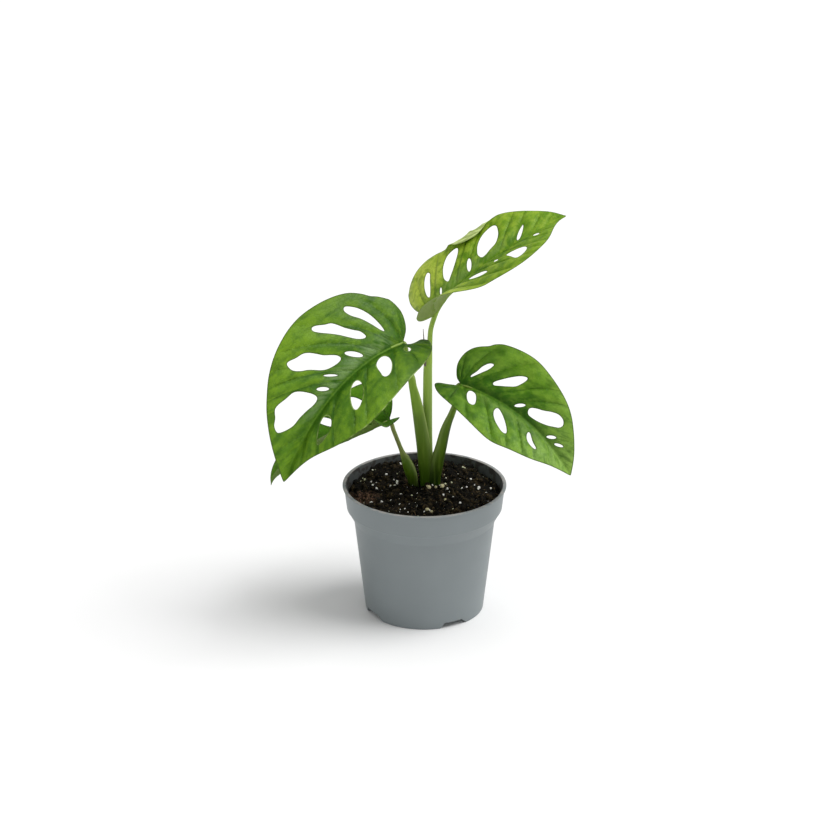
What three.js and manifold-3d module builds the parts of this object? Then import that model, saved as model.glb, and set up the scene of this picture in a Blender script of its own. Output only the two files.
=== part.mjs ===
// A young Swiss cheese vine, Monstera adansonii, in its grey nursery pot.
// Millimetres, +Z up. The origin is on the pot's axis, on the surface that the pot stands on.
// +X is to the right and -Y is the front.

import * as THREE from 'three';
import { mergeVertices } from 'three/addons/utils/BufferGeometryUtils.js';
import Module from 'manifold-3d';

const wasm = await Module();
wasm.setup();

// ---------------------------------------------------------------- driving dimensions

const gap = 0.3; // between neighbouring pieces

const pot = {
  height: 96.6,
  lipRadius: 59.5,
  lipHeight: 0.9,
  collarTopRadius: 58.3,
  collarFootRadius: 56.5,
  collarDepth: 17.1, // from the top of the pot to the foot of the collar
  stepDepth: 26.3, // from the top of the pot to the foot of the slope under the collar
  shoulderRadius: 51.3,
  baseRadius: 43.2,
  footRound: 0.6,
  edgeRound: 0.3, // of the lip and of the foot of the collar
  wall: 1.4,
  floor: 2,
  facets: 56,
};

const drain = {
  count: 4,
  firstAngle: -61, // degrees round from +X
  halfAngle: 9.5, // at its roof
  footHalfAngle: 14.5,
  innerRadius: 33,
  height: 4.3,
  roof: 1.6,
  arcSteps: 4,
  holeRadius: 2.6,
  holeFacets: 16,
};

const soil = {
  edgeHeight: 87,
  mound: 4,
  moundSpread: 20,
  rings: 10,
  spokes: 36,
  lumps: 70,
  lumpRadius: [3, 7],
  lumpHeight: [0.6, 2.2],
  grains: 36,
  grainRadius: [0.9, 1.8],
  clearOfWall: 5,
  seed: 7,
};

// The buried end of the stem. Its profile is a row of [share of the radius, height].
const crown = {
  x: 1,
  y: 14,
  radius: 11,
  bottom: 58,
  top: 84,
  profile: [[0.7, 58], [0.85, 62], [0.8, 69], [0.9, 71], [0.8, 73], [1, 81], [0.9, 84]],
  facets: 20,
};

const blade = {
  thickness: 0.7,
  ribHeight: 1.1, // of the midrib, on the underside, where it starts
  ribTaper: 0.75, // the share of that height that is gone at the tip
  ribHalfWidth: 1.7,
  ribStep: 6,
  widest: 56, // the widest half of any leaf
  longestLobe: 24, // the furthest that any leaf reaches behind its stalk
  edgeStep: 4.4,
  holeStep: 3.4,
  fewestHoleCorners: 6,
  foldStep: 4,
  foldRows: 4,
  innerStep: 7.5,
};

// A leaf is drawn flat and then bent. In the flat drawing s runs along the midrib from the
// stalk to the tip, and v across it, positive on the left side seen from above with the tip
// ahead. base is where the midrib starts; heading is its compass angle from +X, and swing is
// how far that turns on the way to the tip. pitch is its slope at the base and at the tip,
// and roll its turn about its own length. fold is how far each half, left and right, is
// raised from the midrib, curl is how many degrees each 10 mm of it bends further, and
// gather is extra fold at the base. Holes are [s, v, length, width, turn, taper, bend].
// A folded margin is what lies outside a line on the left half, and is turned over the leaf.
const leaves = {
  left: {
    base: [-14.8, -8, 209.5],
    length: 139,
    heading: 215,
    swing: 8,
    pitch: [1, -62],
    ease: 0.7,
    roll: [-42, -38],
    fold: [40, 18],
    curl: [-6, -3.5],
    gather: [0, 0],
    gatherLength: 40,
    leftEdge: [
      [0, 1], [-4, 3], [-8.5, 2.3], [-14.5, 0.6], [-18.2, 2.2], [-18.4, 7], [-12.5, 17], [2, 29],
      [25, 37], [52, 41.5], [76, 40], [98, 30], [118, 13], [139, 0],
    ],
    rightEdge: [
      [0, -1], [-6, -13], [-7, -22], [-1, -33], [10, -43], [26, -52],
      [44, -55], [62, -52.5], [80, -45.5], [100, -33], [120, -17], [139, 0],
    ],
    holes: [
      [17.4, -26.6, 31, 7, 62, 0.1, 0],
      [36, -29, 35.5, 7.6, 50, 0, 0],
      [37.2, -10, 13.5, 4, 47, 0, 0],
      [59.5, -24.3, 36, 12, 45, 0.25, -1.5],
      [59, -10.2, 10.4, 1.9, 46, 0, 0],
      [69.5, -8, 9.2, 3.1, 49, 0, 0],
      [92.5, -15.5, 35, 18.2, 16, 0.05, 4],
      [27.5, 15, 22.2, 10.2, 56, -0.3, 0],
      [59.2, 17, 26.5, 9.8, 42, -0.1, 0.8],
      [94, 12.2, 23, 9.5, 17, -0.35, 1.5],
      [3.1, 9.1, 5.8, 3.4, 53, 0, 0],
    ],
  },
  top: {
    base: [5.6, 12, 222.3],
    length: 122,
    heading: 10,
    swing: 12,
    pitch: [68, 18],
    ease: 0.45,
    roll: [4, 4],
    fold: [22, 18],
    curl: [-3, -3],
    gather: [0, 33],
    gatherLength: 46,
    foldedMargin: { line: [[37, 30.3], [79, 26.2]], bend: 7, turn: 190, ease: 5 },
    leftEdge: [
      [0, 1], [-2, 8], [-5, 18], [-4, 29], [2, 37.5], [11, 42], [21, 42],
      [30, 39], [36, 35.8], [40.5, 35], [45, 38], [50, 40.3], [56, 41], [62, 39.8],
      [68, 36.3], [73, 32.5], [78, 31.2], [84, 31.6], [94, 26], [107, 16], [115, 9], [122, 0],
    ],
    rightEdge: [
      [0, -1], [-2, -7], [-2.5, -17.5], [3, -26], [13, -30], [29, -37.5],
      [46, -42], [61, -45], [73, -44.5], [85, -39.5], [97, -30], [108, -12.5], [115, -3.8], [122, 0],
    ],
    holes: [
      [12.8, 21.7, 20, 5.4, 59, 0.1, 0.9],
      [17, 8, 6.4, 2, 55, 0, 0],
      [34.5, 20.2, 28, 11.2, 47, 0.15, 1.3],
      [44.3, 7.8, 11.6, 3.9, 60, 0, 0],
      [64.6, 15.9, 28.4, 15.6, 46, 0.15, 0],
      [60.7, -12.5, 4.8, 3, 62, 0, 0],
      [44.7, -16, 18.2, 6.4, 47, 0, 0],
      [87.5, 6, 14.2, 3, 44, -0.25, 0],
      [94.7, -8.6, 6.2, 4, 64, 0, 0],
      [74, -23, 19, 12.2, 71, 0.3, -3.5],
    ],
  },
  right: {
    base: [25.2, -4, 176.1],
    length: 108,
    heading: -26,
    swing: -14,
    pitch: [-5, -51],
    ease: 1,
    roll: [42, 42],
    fold: [16, 34],
    curl: [-4, -6],
    gather: [0, 0],
    gatherLength: 40,
    leftEdge: [
      [0, 1], [-4, 5], [-6.5, 14], [-4, 23], [5, 31], [16, 38],
      [30, 39.5], [46, 37], [66, 30], [84, 19.5], [98, 9], [108, 0],
    ],
    rightEdge: [
      [0, -1], [-8, -3], [-15, -4.5], [-16, -8], [-10, -15], [2, -22], [20, -29],
      [38, -33.5], [52, -34], [66, -29], [82, -21], [96, -9.5], [108, 0],
    ],
    holes: [
      [12.2, 14.4, 19, 3.7, 53, 0, -1],
      [32, 16.1, 24, 7.3, 43, 0.2, -0.9],
      [46.8, 5.5, 8.2, 2.8, 40, 0, 0],
      [65.8, 11.4, 26.5, 9.7, 27, 0.25, -1],
      [78.2, 4.2, 7.3, 2.7, 44, 0, 0],
      [85.8, 4.7, 7, 2.4, 36, 0, 0],
      [15.4, -10.2, 16, 5.7, 52, -0.35, 0],
      [45.4, -15.2, 23.6, 7.6, 34, -0.25, 0.5],
      [72.2, -10.2, 15, 4.7, 21, -0.1, 1.2],
    ],
  },
  back: {
    base: [-25.3, 14, 141.4],
    length: 105,
    heading: 176,
    swing: 0,
    pitch: [-27.5, -80],
    ease: 10,
    roll: [-6, -6],
    fold: [52, 44],
    curl: [-4, -3],
    gather: [-34, 0],
    gatherLength: 9,
    leftEdge: [
      [0, 1], [-5, 2.5], [-8.5, 5], [-6, 9], [0, 12.5], [8, 19], [20, 25],
      [32, 26.5], [46, 24], [66, 17.5], [86, 9], [105, 0],
    ],
    rightEdge: [
      [0, -1], [-4, -7], [-6.5, -15], [-5, -24.5], [3, -32.5], [14, -36.5],
      [28, -35.5], [44, -31], [62, -24.5], [80, -16.5], [93, -9], [105, 0],
    ],
    holes: [
      [20, -22.3, 21, 8.5, 50, 0, 0],
      [45.5, -19.2, 20, 6, 40, 0, 0],
      [69, -13.5, 14, 5, 34, 0, 0],
      [16, 12, 15, 4.5, 56, 0, 0],
      [36, 13, 19, 6, 48, 0, 0],
      [60, 11, 14, 5, 38, 0, 0],
    ],
  },
};

// A stalk is a row of stations from the crown up: [x, y, z, half width, half depth]. Its last
// two stations are worked out from the leaf that it carries: how far along the midrib, and how
// far under it.
const stalks = {
  top: {
    stations: [
      [3.6, 17.5, crown.top + gap, 3.6, 3],
      [3.1, 17, 96, 3.7, 3],
      [2.6, 16, 117, 3.5, 3],
      [2.4, 15, 140, 3.4, 2.9],
      [2.4, 14.2, 162, 3.4, 2.8],
      [2.6, 13.4, 184, 3.1, 2.6],
      [3.7, 12.9, 201, 2.2, 2.1],
      [4.5, 12.6, 212, 1.8, 1.8],
    ],
    joint: [[0.5, 1.4], [7, 0.8]],
    endRadius: [1.8, 1.2],
  },
  left: {
    stations: [
      [1.1, 13, crown.top + gap, 4.2, 4],
      [1.1, 12.8, 96, 4.5, 4.2],
      [0.6, 12, 112, 5.3, 4.4],
      [-0.3, 11.2, 123, 5.4, 4.4],
      [-2.2, 10, 138, 5.1, 4],
      [-5.1, 8.5, 157, 4.3, 3.4],
      [-8.6, 6.3, 174, 3, 2.7],
      [-12, 3.4, 187, 2.1, 2.1],
    ],
    joint: [[-2.5, 3.4], [4, 1]],
    endRadius: [1.9, 1.3],
  },
  right: {
    stations: [
      [7.4, 12.6, crown.top + gap, 4.8, 4],
      [7.3, 12.3, 95, 5, 4.2],
      [9.5, 11, 109, 4.9, 4],
      [12.5, 9.6, 122, 4.3, 3.4],
      [15.3, 8.4, 135, 3.7, 2.9],
      [19.4, 6.4, 148, 2.6, 2.3],
      [23, 2.8, 161, 2, 2],
    ],
    joint: [[-2, 3.2], [4, 1]],
    endRadius: [1.8, 1.2],
  },
  back: {
    stations: [
      [-6.8, 12.5, crown.top + gap, 3.8, 3.2],
      [-7.6, 12.4, 93, 4.1, 3.4],
      [-9.4, 12.2, 101, 4.8, 3.6],
      [-12.8, 12.3, 109, 3.7, 2.9],
      [-16.8, 12.5, 118, 1.9, 1.9],
      [-19.4, 12.8, 125, 1.6, 1.6],
      [-22.2, 13.3, 132, 1.6, 1.6],
    ],
    joint: [[0.6, 2.2], [5.5, 0.8]],
    endRadius: [1.5, 1.1],
  },
  sides: 12,
  stepsPerStation: 2,
};

const drySheath = {
  from: [0.6, 11.4, 186],
  to: [-0.6, 10.6, 213],
  radius: 1.1,
  tipRadius: 0.35,
  sides: 6,
};

const finishes = {
  pot: { color: 0x70787a, roughness: 0.55 },
  soil: { color: 0x1c1611, roughness: 0.95 },
  stem: { color: 0x6f7a3a, roughness: 0.7 },
  stalk: { color: 0x5f8a2a, roughness: 0.5 },
  leaf: {
    left: { color: 0x6f9a2c, roughness: 0.45 },
    top: { color: 0x8fb33c, roughness: 0.45 },
    right: { color: 0x6a9430, roughness: 0.45 },
    back: { color: 0x3f6b1a, roughness: 0.5 },
  },
};

// ---------------------------------------------------------------- solids and meshes

function toSolid(geometry) {
  const bare = geometry.clone();
  bare.deleteAttribute('normal');
  bare.deleteAttribute('uv');
  const merged = mergeVertices(bare, 1e-4);
  return new wasm.Manifold(new wasm.Mesh({
    numProp: 3,
    vertProperties: new Float32Array(merged.attributes.position.array),
    triVerts: new Uint32Array(merged.index.array),
  }));
}

function toGeometry(solid) {
  const mesh = solid.getMesh();
  const geometry = new THREE.BufferGeometry();
  geometry.setAttribute('position', new THREE.BufferAttribute(mesh.vertProperties, 3));
  geometry.setIndex(new THREE.BufferAttribute(mesh.triVerts, 1));
  return geometry;
}

function indexedGeometry(points, triangles) {
  const geometry = new THREE.BufferGeometry();
  geometry.setFromPoints(points);
  geometry.setIndex(triangles);
  return geometry;
}

function largestPiece(solid) {
  const pieces = solid.decompose();
  return pieces.reduce((best, piece) => (piece.volume() > best.volume() ? piece : best));
}

function namedMesh(name, solid, finish) {
  const geometry = toGeometry(solid);
  geometry.computeVertexNormals();
  const material = new THREE.MeshStandardMaterial({ ...finish, metalness: 0 });
  const mesh = new THREE.Mesh(geometry, material);
  mesh.name = name;
  return mesh;
}

function seededRandom(seed) {
  let state = seed;
  return () => {
    state = (state * 1103515245 + 12345) % 2147483648;
    return state / 2147483648;
  };
}

const degrees = THREE.MathUtils.degToRad;
const smoothstep = THREE.MathUtils.smoothstep;

// ---------------------------------------------------------------- pot

function potOutside() {
  const top = pot.height;
  const round = pot.edgeRound;
  const lipFoot = top - pot.lipHeight;
  const collarFoot = top - pot.collarDepth;
  const corner = pot.footRound * (1 - Math.SQRT1_2);
  return [
    [pot.baseRadius - pot.footRound, 0],
    [pot.baseRadius - corner, corner],
    [pot.baseRadius, pot.footRound],
    [pot.shoulderRadius, top - pot.stepDepth],
    [pot.collarFootRadius - 2 * round, collarFoot - 2 * round],
    [pot.collarFootRadius, collarFoot],
    [pot.collarTopRadius, lipFoot - 2 * round],
    [pot.lipRadius - round, lipFoot],
    [pot.lipRadius, lipFoot + round],
    [pot.lipRadius, top - round],
    [pot.lipRadius - round, top],
  ];
}

// The inner wall of the pot, from the floor up to the rim.
function potInside(inset, topHeight) {
  const top = pot.height;
  const stepFoot = top - pot.stepDepth;
  const stepHead = top - pot.collarDepth;
  const shoulder = pot.shoulderRadius - pot.wall - inset;
  const collar = pot.collarFootRadius - pot.wall - inset;
  const rim = pot.collarTopRadius - pot.wall - inset;
  const collarSlope = (rim - collar) / pot.collarDepth;
  return [
    [pot.baseRadius - pot.wall - inset, pot.floor + inset],
    [shoulder, stepFoot],
    [collar, stepHead],
    [collar + collarSlope * (topHeight - stepHead), topHeight],
  ];
}

function latheSolid(profile, facets) {
  const points = profile.map(([radius, height]) => new THREE.Vector2(radius, height));
  const geometry = new THREE.LatheGeometry(points, facets);
  geometry.rotateX(Math.PI / 2);
  return toSolid(geometry);
}

function drainAngles() {
  return Array.from({ length: drain.count }, (_, i) => drain.firstAngle + (i * 360) / drain.count);
}

// A block with arc-shaped ends and leaning sides, for the drain recesses and for the roofs over
// them. The side wall is an angle that widens it on both sides.
function arcBlock(angle, sideWall, inner, outer, bottom, top) {
  const corners = [[inner, bottom], [outer, bottom], [outer, top], [inner, top]];
  const points = [];
  const faces = [];
  for (let k = 0; k <= drain.arcSteps; k += 1) {
    const share = (2 * k) / drain.arcSteps - 1;
    for (const [radius, height] of corners) {
      const lean = THREE.MathUtils.lerp(drain.footHalfAngle, drain.halfAngle, height / drain.height);
      const turn = degrees(angle + share * (lean + sideWall));
      points.push(new THREE.Vector3(radius * Math.cos(turn), radius * Math.sin(turn), height));
    }
  }
  for (let k = 0; k < drain.arcSteps; k += 1) {
    for (let side = 0; side < 4; side += 1) {
      const here = 4 * k + side;
      const beside = 4 * k + ((side + 1) % 4);
      faces.push(here, here + 4, beside + 4, here, beside + 4, beside);
    }
  }
  const last = 4 * drain.arcSteps;
  faces.push(0, 1, 2, 0, 2, 3, last, last + 2, last + 1, last, last + 3, last + 2);
  return toSolid(indexedGeometry(points, faces));
}

// A plug for the round hole through the roof of a drain recess.
function drainHole(angle) {
  const { holeRadius, holeFacets, height } = drain;
  const geometry = new THREE.CylinderGeometry(holeRadius, holeRadius, 2 * height, holeFacets);
  geometry.rotateX(Math.PI / 2);
  const along = (drain.innerRadius + pot.baseRadius - pot.wall) / 2;
  geometry.translate(along * Math.cos(degrees(angle)), along * Math.sin(degrees(angle)), height);
  return toSolid(geometry);
}

// The raised roofs of the drain recesses, grown by a clearance for the soil that lies on them.
function drainRoofs(clearance) {
  const sideWall = THREE.MathUtils.radToDeg((drain.roof + clearance) / drain.innerRadius);
  const blocks = drainAngles().map((angle) => arcBlock(
    angle,
    sideWall,
    drain.innerRadius - drain.roof - clearance,
    pot.baseRadius - pot.wall / 2,
    pot.floor / 2,
    drain.height + drain.roof + clearance,
  ));
  return blocks.reduce((all, block) => all.add(block));
}

function makePot() {
  const inside = potInside(0, pot.height);
  const profile = [[0, 0], ...potOutside(), ...inside.reverse(), [0, pot.floor]];
  let body = latheSolid(profile, pot.facets).add(drainRoofs(0));
  for (const angle of drainAngles()) {
    const { innerRadius, height } = drain;
    const recess = arcBlock(angle, 0, innerRadius, pot.lipRadius, -height, height);
    body = body.subtract(recess).subtract(drainHole(angle));
  }
  return body;
}

// ---------------------------------------------------------------- leaves

// A smooth open curve through the points of one edge of a leaf.
function smoothEdge(points, step) {
  const curve = new THREE.SplineCurve(points.map(([s, v]) => new THREE.Vector2(s, v)));
  return curve.getSpacedPoints(Math.round(curve.getLength() / step));
}

function leafOutline(leaf, step) {
  const left = smoothEdge(leaf.leftEdge, step);
  const right = smoothEdge(leaf.rightEdge, step).reverse();
  return [...left, ...right.slice(1)];
}

function holeOutline([s, v, length, width, turn, taper, bend], step) {
  const around = Math.PI * (length + width) / 2;
  const count = Math.max(blade.fewestHoleCorners, Math.round(around / step));
  const side = Math.sign(v);
  const points = [];
  for (let i = 0; i < count; i += 1) {
    const angle = (i / count) * 2 * Math.PI;
    const along = (length / 2) * Math.cos(angle);
    const bow = bend * (0.5 - Math.cos(angle) ** 2);
    const across = (width / 2) * Math.sin(angle) * (1 + taper * Math.cos(angle)) + bow;
    const cosTurn = Math.cos(degrees(turn));
    const sinTurn = Math.sin(degrees(turn));
    points.push(new THREE.Vector2(
      s + along * cosTurn - across * sinTurn,
      v + side * (along * sinTurn + across * cosTurn),
    ));
  }
  return points;
}

function isInside(point, outline) {
  let inside = false;
  for (let i = 0, j = outline.length - 1; i < outline.length; j = i, i += 1) {
    const a = outline[i];
    const b = outline[j];
    const crosses = (a.y > point.y) !== (b.y > point.y);
    if (crosses && point.x < ((b.x - a.x) * (point.y - a.y)) / (b.y - a.y) + a.x) {
      inside = !inside;
    }
  }
  return inside;
}

function distanceToPoints(point, others) {
  return Math.min(...others.map((other) => point.distanceTo(other)));
}

// Delaunay triangles of a set of points, by adding one point after another.
function delaunay(points) {
  const far = 1e4;
  const corners = [
    new THREE.Vector2(-far, -far), new THREE.Vector2(far, -far), new THREE.Vector2(0, far),
  ];
  const all = [...points, ...corners];
  const circle = (a, b, c) => {
    const [p, q, r] = [all[a], all[b], all[c]];
    const d = 2 * (p.x * (q.y - r.y) + q.x * (r.y - p.y) + r.x * (p.y - q.y));
    const [pp, qq, rr] = [p.lengthSq(), q.lengthSq(), r.lengthSq()];
    const x = (pp * (q.y - r.y) + qq * (r.y - p.y) + rr * (p.y - q.y)) / d;
    const y = (pp * (r.x - q.x) + qq * (p.x - r.x) + rr * (q.x - p.x)) / d;
    return { corners: [a, b, c], x, y, reach: (p.x - x) ** 2 + (p.y - y) ** 2 };
  };
  let triangles = [circle(points.length, points.length + 1, points.length + 2)];
  points.forEach((point, index) => {
    const edges = new Map();
    const kept = [];
    for (const triangle of triangles) {
      const away = (point.x - triangle.x) ** 2 + (point.y - triangle.y) ** 2;
      if (away >= triangle.reach) {
        kept.push(triangle);
        continue;
      }
      for (let k = 0; k < 3; k += 1) {
        const a = triangle.corners[k];
        const b = triangle.corners[(k + 1) % 3];
        if (!edges.delete(`${b},${a}`)) {
          edges.set(`${a},${b}`, [a, b]);
        }
      }
    }
    triangles = kept;
    for (const [a, b] of edges.values()) {
      triangles.push(circle(a, b, index));
    }
  });
  return triangles.map(({ corners: ends }) => ends)
    .filter((ends) => ends.every((end) => end < points.length));
}

// The flat leaf as points and triangles: its edge, its holes, its midrib and a net between.
function flatLeaf(leaf) {
  const edge = leafOutline(leaf, blade.edgeStep);
  const holes = leaf.holes.map((hole) => holeOutline(hole, blade.holeStep));
  const points = [...edge.slice(0, -1), ...holes.flat()];
  const isOnLeaf = (point) => isInside(point, edge) && !holes.some((hole) => isInside(point, hole));
  const addIfClear = (point, clearance) => {
    if (isOnLeaf(point) && distanceToPoints(point, points) > clearance) {
      points.push(point);
    }
  };
  for (let s = blade.ribStep / 2; s < leaf.length; s += blade.ribStep) {
    for (const v of [0, blade.ribHalfWidth, -blade.ribHalfWidth]) {
      addIfClear(new THREE.Vector2(s, v), blade.ribStep / 5);
    }
  }
  if (leaf.foldedMargin) {
    const { line: [[from], [to]], bend } = leaf.foldedMargin;
    for (let out = 0; out <= bend; out += bend / blade.foldRows) {
      for (let s = from; s < to; s += blade.foldStep) {
        addIfClear(new THREE.Vector2(s, foldLine(leaf.foldedMargin, s) + out), blade.foldStep / 3);
      }
    }
  }
  const rowStep = blade.innerStep * Math.cos(Math.PI / 6);
  const rows = Math.ceil(blade.widest / rowStep);
  for (let row = -rows; row <= rows; row += 1) {
    const shift = (row % 2) * (blade.innerStep / 2);
    for (let s = shift - blade.longestLobe; s < leaf.length; s += blade.innerStep) {
      addIfClear(new THREE.Vector2(s, row * rowStep), blade.innerStep / 2);
    }
  }
  const middle = ([a, b, c]) => points[a].clone().add(points[b]).add(points[c]).divideScalar(3);
  const triangles = delaunay(points).filter((triangle) => isOnLeaf(middle(triangle)));
  return { points, triangles };
}

// How far from the midrib the line lies along which a margin is folded.
function foldLine({ line: [[fromS, fromV], [toS, toV]] }, s) {
  return THREE.MathUtils.mapLinear(s, fromS, toS, fromV, toV);
}

// How far out and how far up a point lies that is w along a half of the leaf. The half is a
// row of arcs, each [length, bend per mm], and the first leaves the midrib at an angle.
function crossSection(w, angle, arcs) {
  let [out, up, start, left] = [0, 0, angle, w];
  for (const [length, bend] of arcs) {
    const part = Math.min(left, length);
    const end = start + bend * part;
    if (Math.abs(bend) < 1e-6) {
      out += part * Math.cos(start);
      up += part * Math.sin(start);
    } else {
      out += (Math.sin(end) - Math.sin(start)) / bend;
      up += (Math.cos(start) - Math.cos(end)) / bend;
    }
    start = end;
    left -= part;
  }
  return [out, up];
}

// The arcs of one half of a leaf at s: one long arc, or one that ends in a folded margin.
function halfArcs(leaf, half, s) {
  const bend = degrees(leaf.curl[half]) / 10;
  const margin = leaf.foldedMargin;
  if (half === 1 || !margin) {
    return [[Infinity, bend]];
  }
  const [[from], [to]] = margin.line;
  const amount = smoothstep(s, from, from + margin.ease) * (1 - smoothstep(s, to - margin.ease, to));
  if (amount === 0) {
    return [[Infinity, bend]];
  }
  const turnPerMm = amount * degrees(margin.turn) / margin.bend;
  return [[foldLine(margin, s), bend], [margin.bend, turnPerMm], [Infinity, 0]];
}

// The bent leaf: a function from the flat drawing to a point in space.
function leafSurface(leaf) {
  const direction = (s) => {
    const along = THREE.MathUtils.clamp(s / leaf.length, 0, 1);
    const pitch = degrees(THREE.MathUtils.lerp(...leaf.pitch, along ** leaf.ease));
    const heading = degrees(leaf.heading + leaf.swing * along);
    const roll = degrees(THREE.MathUtils.lerp(...leaf.roll, along));
    const ahead = new THREE.Vector3(
      Math.cos(heading) * Math.cos(pitch), Math.sin(heading) * Math.cos(pitch), Math.sin(pitch),
    );
    const level = new THREE.Vector3(-Math.sin(heading), Math.cos(heading), 0);
    const up = new THREE.Vector3().crossVectors(ahead, level);
    level.applyAxisAngle(ahead, roll);
    up.applyAxisAngle(ahead, roll);
    return { ahead, level, up };
  };
  const midrib = [new THREE.Vector3(...leaf.base)];
  for (let s = 0; s < leaf.length; s += 1) {
    midrib.push(midrib[s].clone().add(direction(s + 0.5).ahead));
  }
  const onMidrib = (s) => {
    if (s <= 0) {
      return midrib[0].clone().addScaledVector(direction(0).ahead, s);
    }
    const i = Math.min(Math.floor(s), leaf.length - 1);
    return midrib[i].clone().lerp(midrib[i + 1], s - i);
  };
  return (s, v) => {
    const { level, up } = direction(s);
    const half = v >= 0 ? 0 : 1;
    const side = v >= 0 ? 1 : -1;
    const gather = leaf.gather[half] * (1 - smoothstep(s, 0, leaf.gatherLength));
    const angle = degrees(leaf.fold[half] + gather);
    const [out, rise] = crossSection(Math.abs(v), angle, halfArcs(leaf, half, s));
    const point = onMidrib(s).addScaledVector(level, side * out).addScaledVector(up, rise);
    return { point, up };
  };
}

// The two halves meet at the midrib with a crease, so there the normal is the midrib's own.
function surfaceNormal(surface, s, v) {
  if (v === 0) {
    return surface(s, 0).up;
  }
  const step = 0.2;
  const alongS = surface(s + step, v).point.sub(surface(s - step, v).point);
  const lowV = v > 0 ? Math.max(v - step, 0) : v - step;
  const highV = v < 0 ? Math.min(v + step, -1e-6) : v + step;
  const alongV = surface(s, highV).point.sub(surface(s, lowV).point);
  return alongS.cross(alongV).normalize();
}

// The blade as a solid: the same triangles above and below, and a wall round every edge. The
// midrib stands out of the underside.
function bladeSolid(leaf, extra) {
  const { points, triangles } = flatLeaf(leaf);
  const surface = leafSurface(leaf);
  const half = blade.thickness / 2 + extra;
  const upper = [];
  const lower = [];
  for (const { x: s, y: v } of points) {
    const normal = surfaceNormal(surface, s, v);
    const { point } = surface(s, v);
    const onRib = Math.abs(v) < blade.ribHalfWidth && s > 0;
    const rib = onRib ? blade.ribHeight * (1 - (blade.ribTaper * s) / leaf.length) : 0;
    upper.push(point.clone().addScaledVector(normal, half));
    lower.push(point.clone().addScaledVector(normal, -half - rib));
  }
  const count = points.length;
  const faces = [];
  const edges = new Map();
  for (const [a, b, c] of triangles) {
    faces.push(a, b, c, count + a, count + c, count + b);
    for (const [from, to] of [[a, b], [b, c], [c, a]]) {
      if (!edges.delete(`${to},${from}`)) {
        edges.set(`${from},${to}`, [from, to]);
      }
    }
  }
  for (const [from, to] of edges.values()) {
    faces.push(from, count + from, to, to, count + from, count + to);
  }
  return toSolid(indexedGeometry([...upper, ...lower], faces));
}

// ---------------------------------------------------------------- stalks

function stalkStations(stalk, leaf) {
  const surface = leafSurface(leaf);
  const under = stalk.joint.map(([s, depth], i) => {
    const { point, up } = surface(s, 0);
    const radius = stalk.endRadius[i];
    return [...point.addScaledVector(up, -depth - blade.thickness / 2), radius, radius];
  });
  return [...stalk.stations, ...under];
}

// A tube of oval rings along the stations. The width of each oval lies across the view from
// the front and its depth along it.
function stalkSolid(stations, extra) {
  const centres = new THREE.CatmullRomCurve3(
    stations.map(([x, y, z]) => new THREE.Vector3(x, y, z)), false, 'centripetal',
  );
  const widths = new THREE.SplineCurve(stations.map(([, , , w, d]) => new THREE.Vector2(w, d)));
  const steps = (stations.length - 1) * stalks.stepsPerStation;
  const points = [];
  const faces = [];
  const sides = stalks.sides;
  for (let i = 0; i <= steps; i += 1) {
    const along = i / steps;
    const centre = centres.getPoint(along);
    const tangent = centres.getTangent(along);
    if (i === 0) {
      centre.z -= extra;
      tangent.set(0, 0, 1);
    }
    const across = new THREE.Vector3(0, -1, 0).cross(tangent).negate().normalize();
    const outward = tangent.clone().cross(across).normalize();
    const size = widths.getPoint(along);
    for (let k = 0; k < sides; k += 1) {
      const angle = (k / sides) * 2 * Math.PI;
      points.push(centre.clone()
        .addScaledVector(across, (size.x + extra) * Math.cos(angle))
        .addScaledVector(outward, (size.y + extra) * Math.sin(angle)));
      if (i > 0) {
        const next = (k + 1) % sides;
        const row = (i - 1) * sides;
        faces.push(row + k, row + next, row + sides + next);
        faces.push(row + k, row + sides + next, row + sides + k);
      }
    }
  }
  for (let k = 1; k < sides - 1; k += 1) {
    const last = steps * sides;
    faces.push(0, k + 1, k, last, last + k, last + k + 1);
  }
  return toSolid(indexedGeometry(points, faces));
}

function drySheathSolid(extra) {
  const from = new THREE.Vector3(...drySheath.from);
  const to = new THREE.Vector3(...drySheath.to);
  const length = from.distanceTo(to);
  const { radius, tipRadius, sides } = drySheath;
  const geometry = new THREE.CylinderGeometry(
    tipRadius + extra, radius + extra, length + 2 * extra, sides,
  );
  const turn = new THREE.Quaternion().setFromUnitVectors(
    new THREE.Vector3(0, 1, 0), to.clone().sub(from).normalize(),
  );
  geometry.applyQuaternion(turn);
  const middle = from.clone().add(to).divideScalar(2);
  geometry.translate(middle.x, middle.y, middle.z);
  return toSolid(geometry);
}

// Each stalk keeps clear of those that it clasps and of its own leaf. The stalk of the top
// leaf is whole, and each older one wraps round what stands inside it.
function makeStalks() {
  const order = ['top', 'left', 'right', 'back'];
  const made = {};
  let taken = null;
  for (const name of order) {
    const stations = stalkStations(stalks[name], leaves[name]);
    let body = stalkSolid(stations, 0);
    let grown = stalkSolid(stations, gap);
    if (name === 'top') {
      body = body.add(drySheathSolid(0));
      grown = grown.add(drySheathSolid(gap));
    }
    body = body.subtract(bladeSolid(leaves[name], gap));
    if (taken) {
      body = body.subtract(taken);
    }
    made[name] = largestPiece(body);
    taken = taken ? taken.add(grown) : grown;
  }
  return { made, taken };
}

// ---------------------------------------------------------------- crown and soil

function crownSolid(extra) {
  const { radius, top, bottom, profile, facets } = crown;
  const side = profile.map(([share, height]) => {
    const grownHeight = THREE.MathUtils.mapLinear(height, bottom, top, bottom - extra, top + extra);
    return [radius * share + extra, grownHeight];
  });
  const outline = [[0, bottom - extra], ...side, [0, top + extra]];
  return latheSolid(outline, facets).translate(crown.x, crown.y, 0);
}

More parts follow.
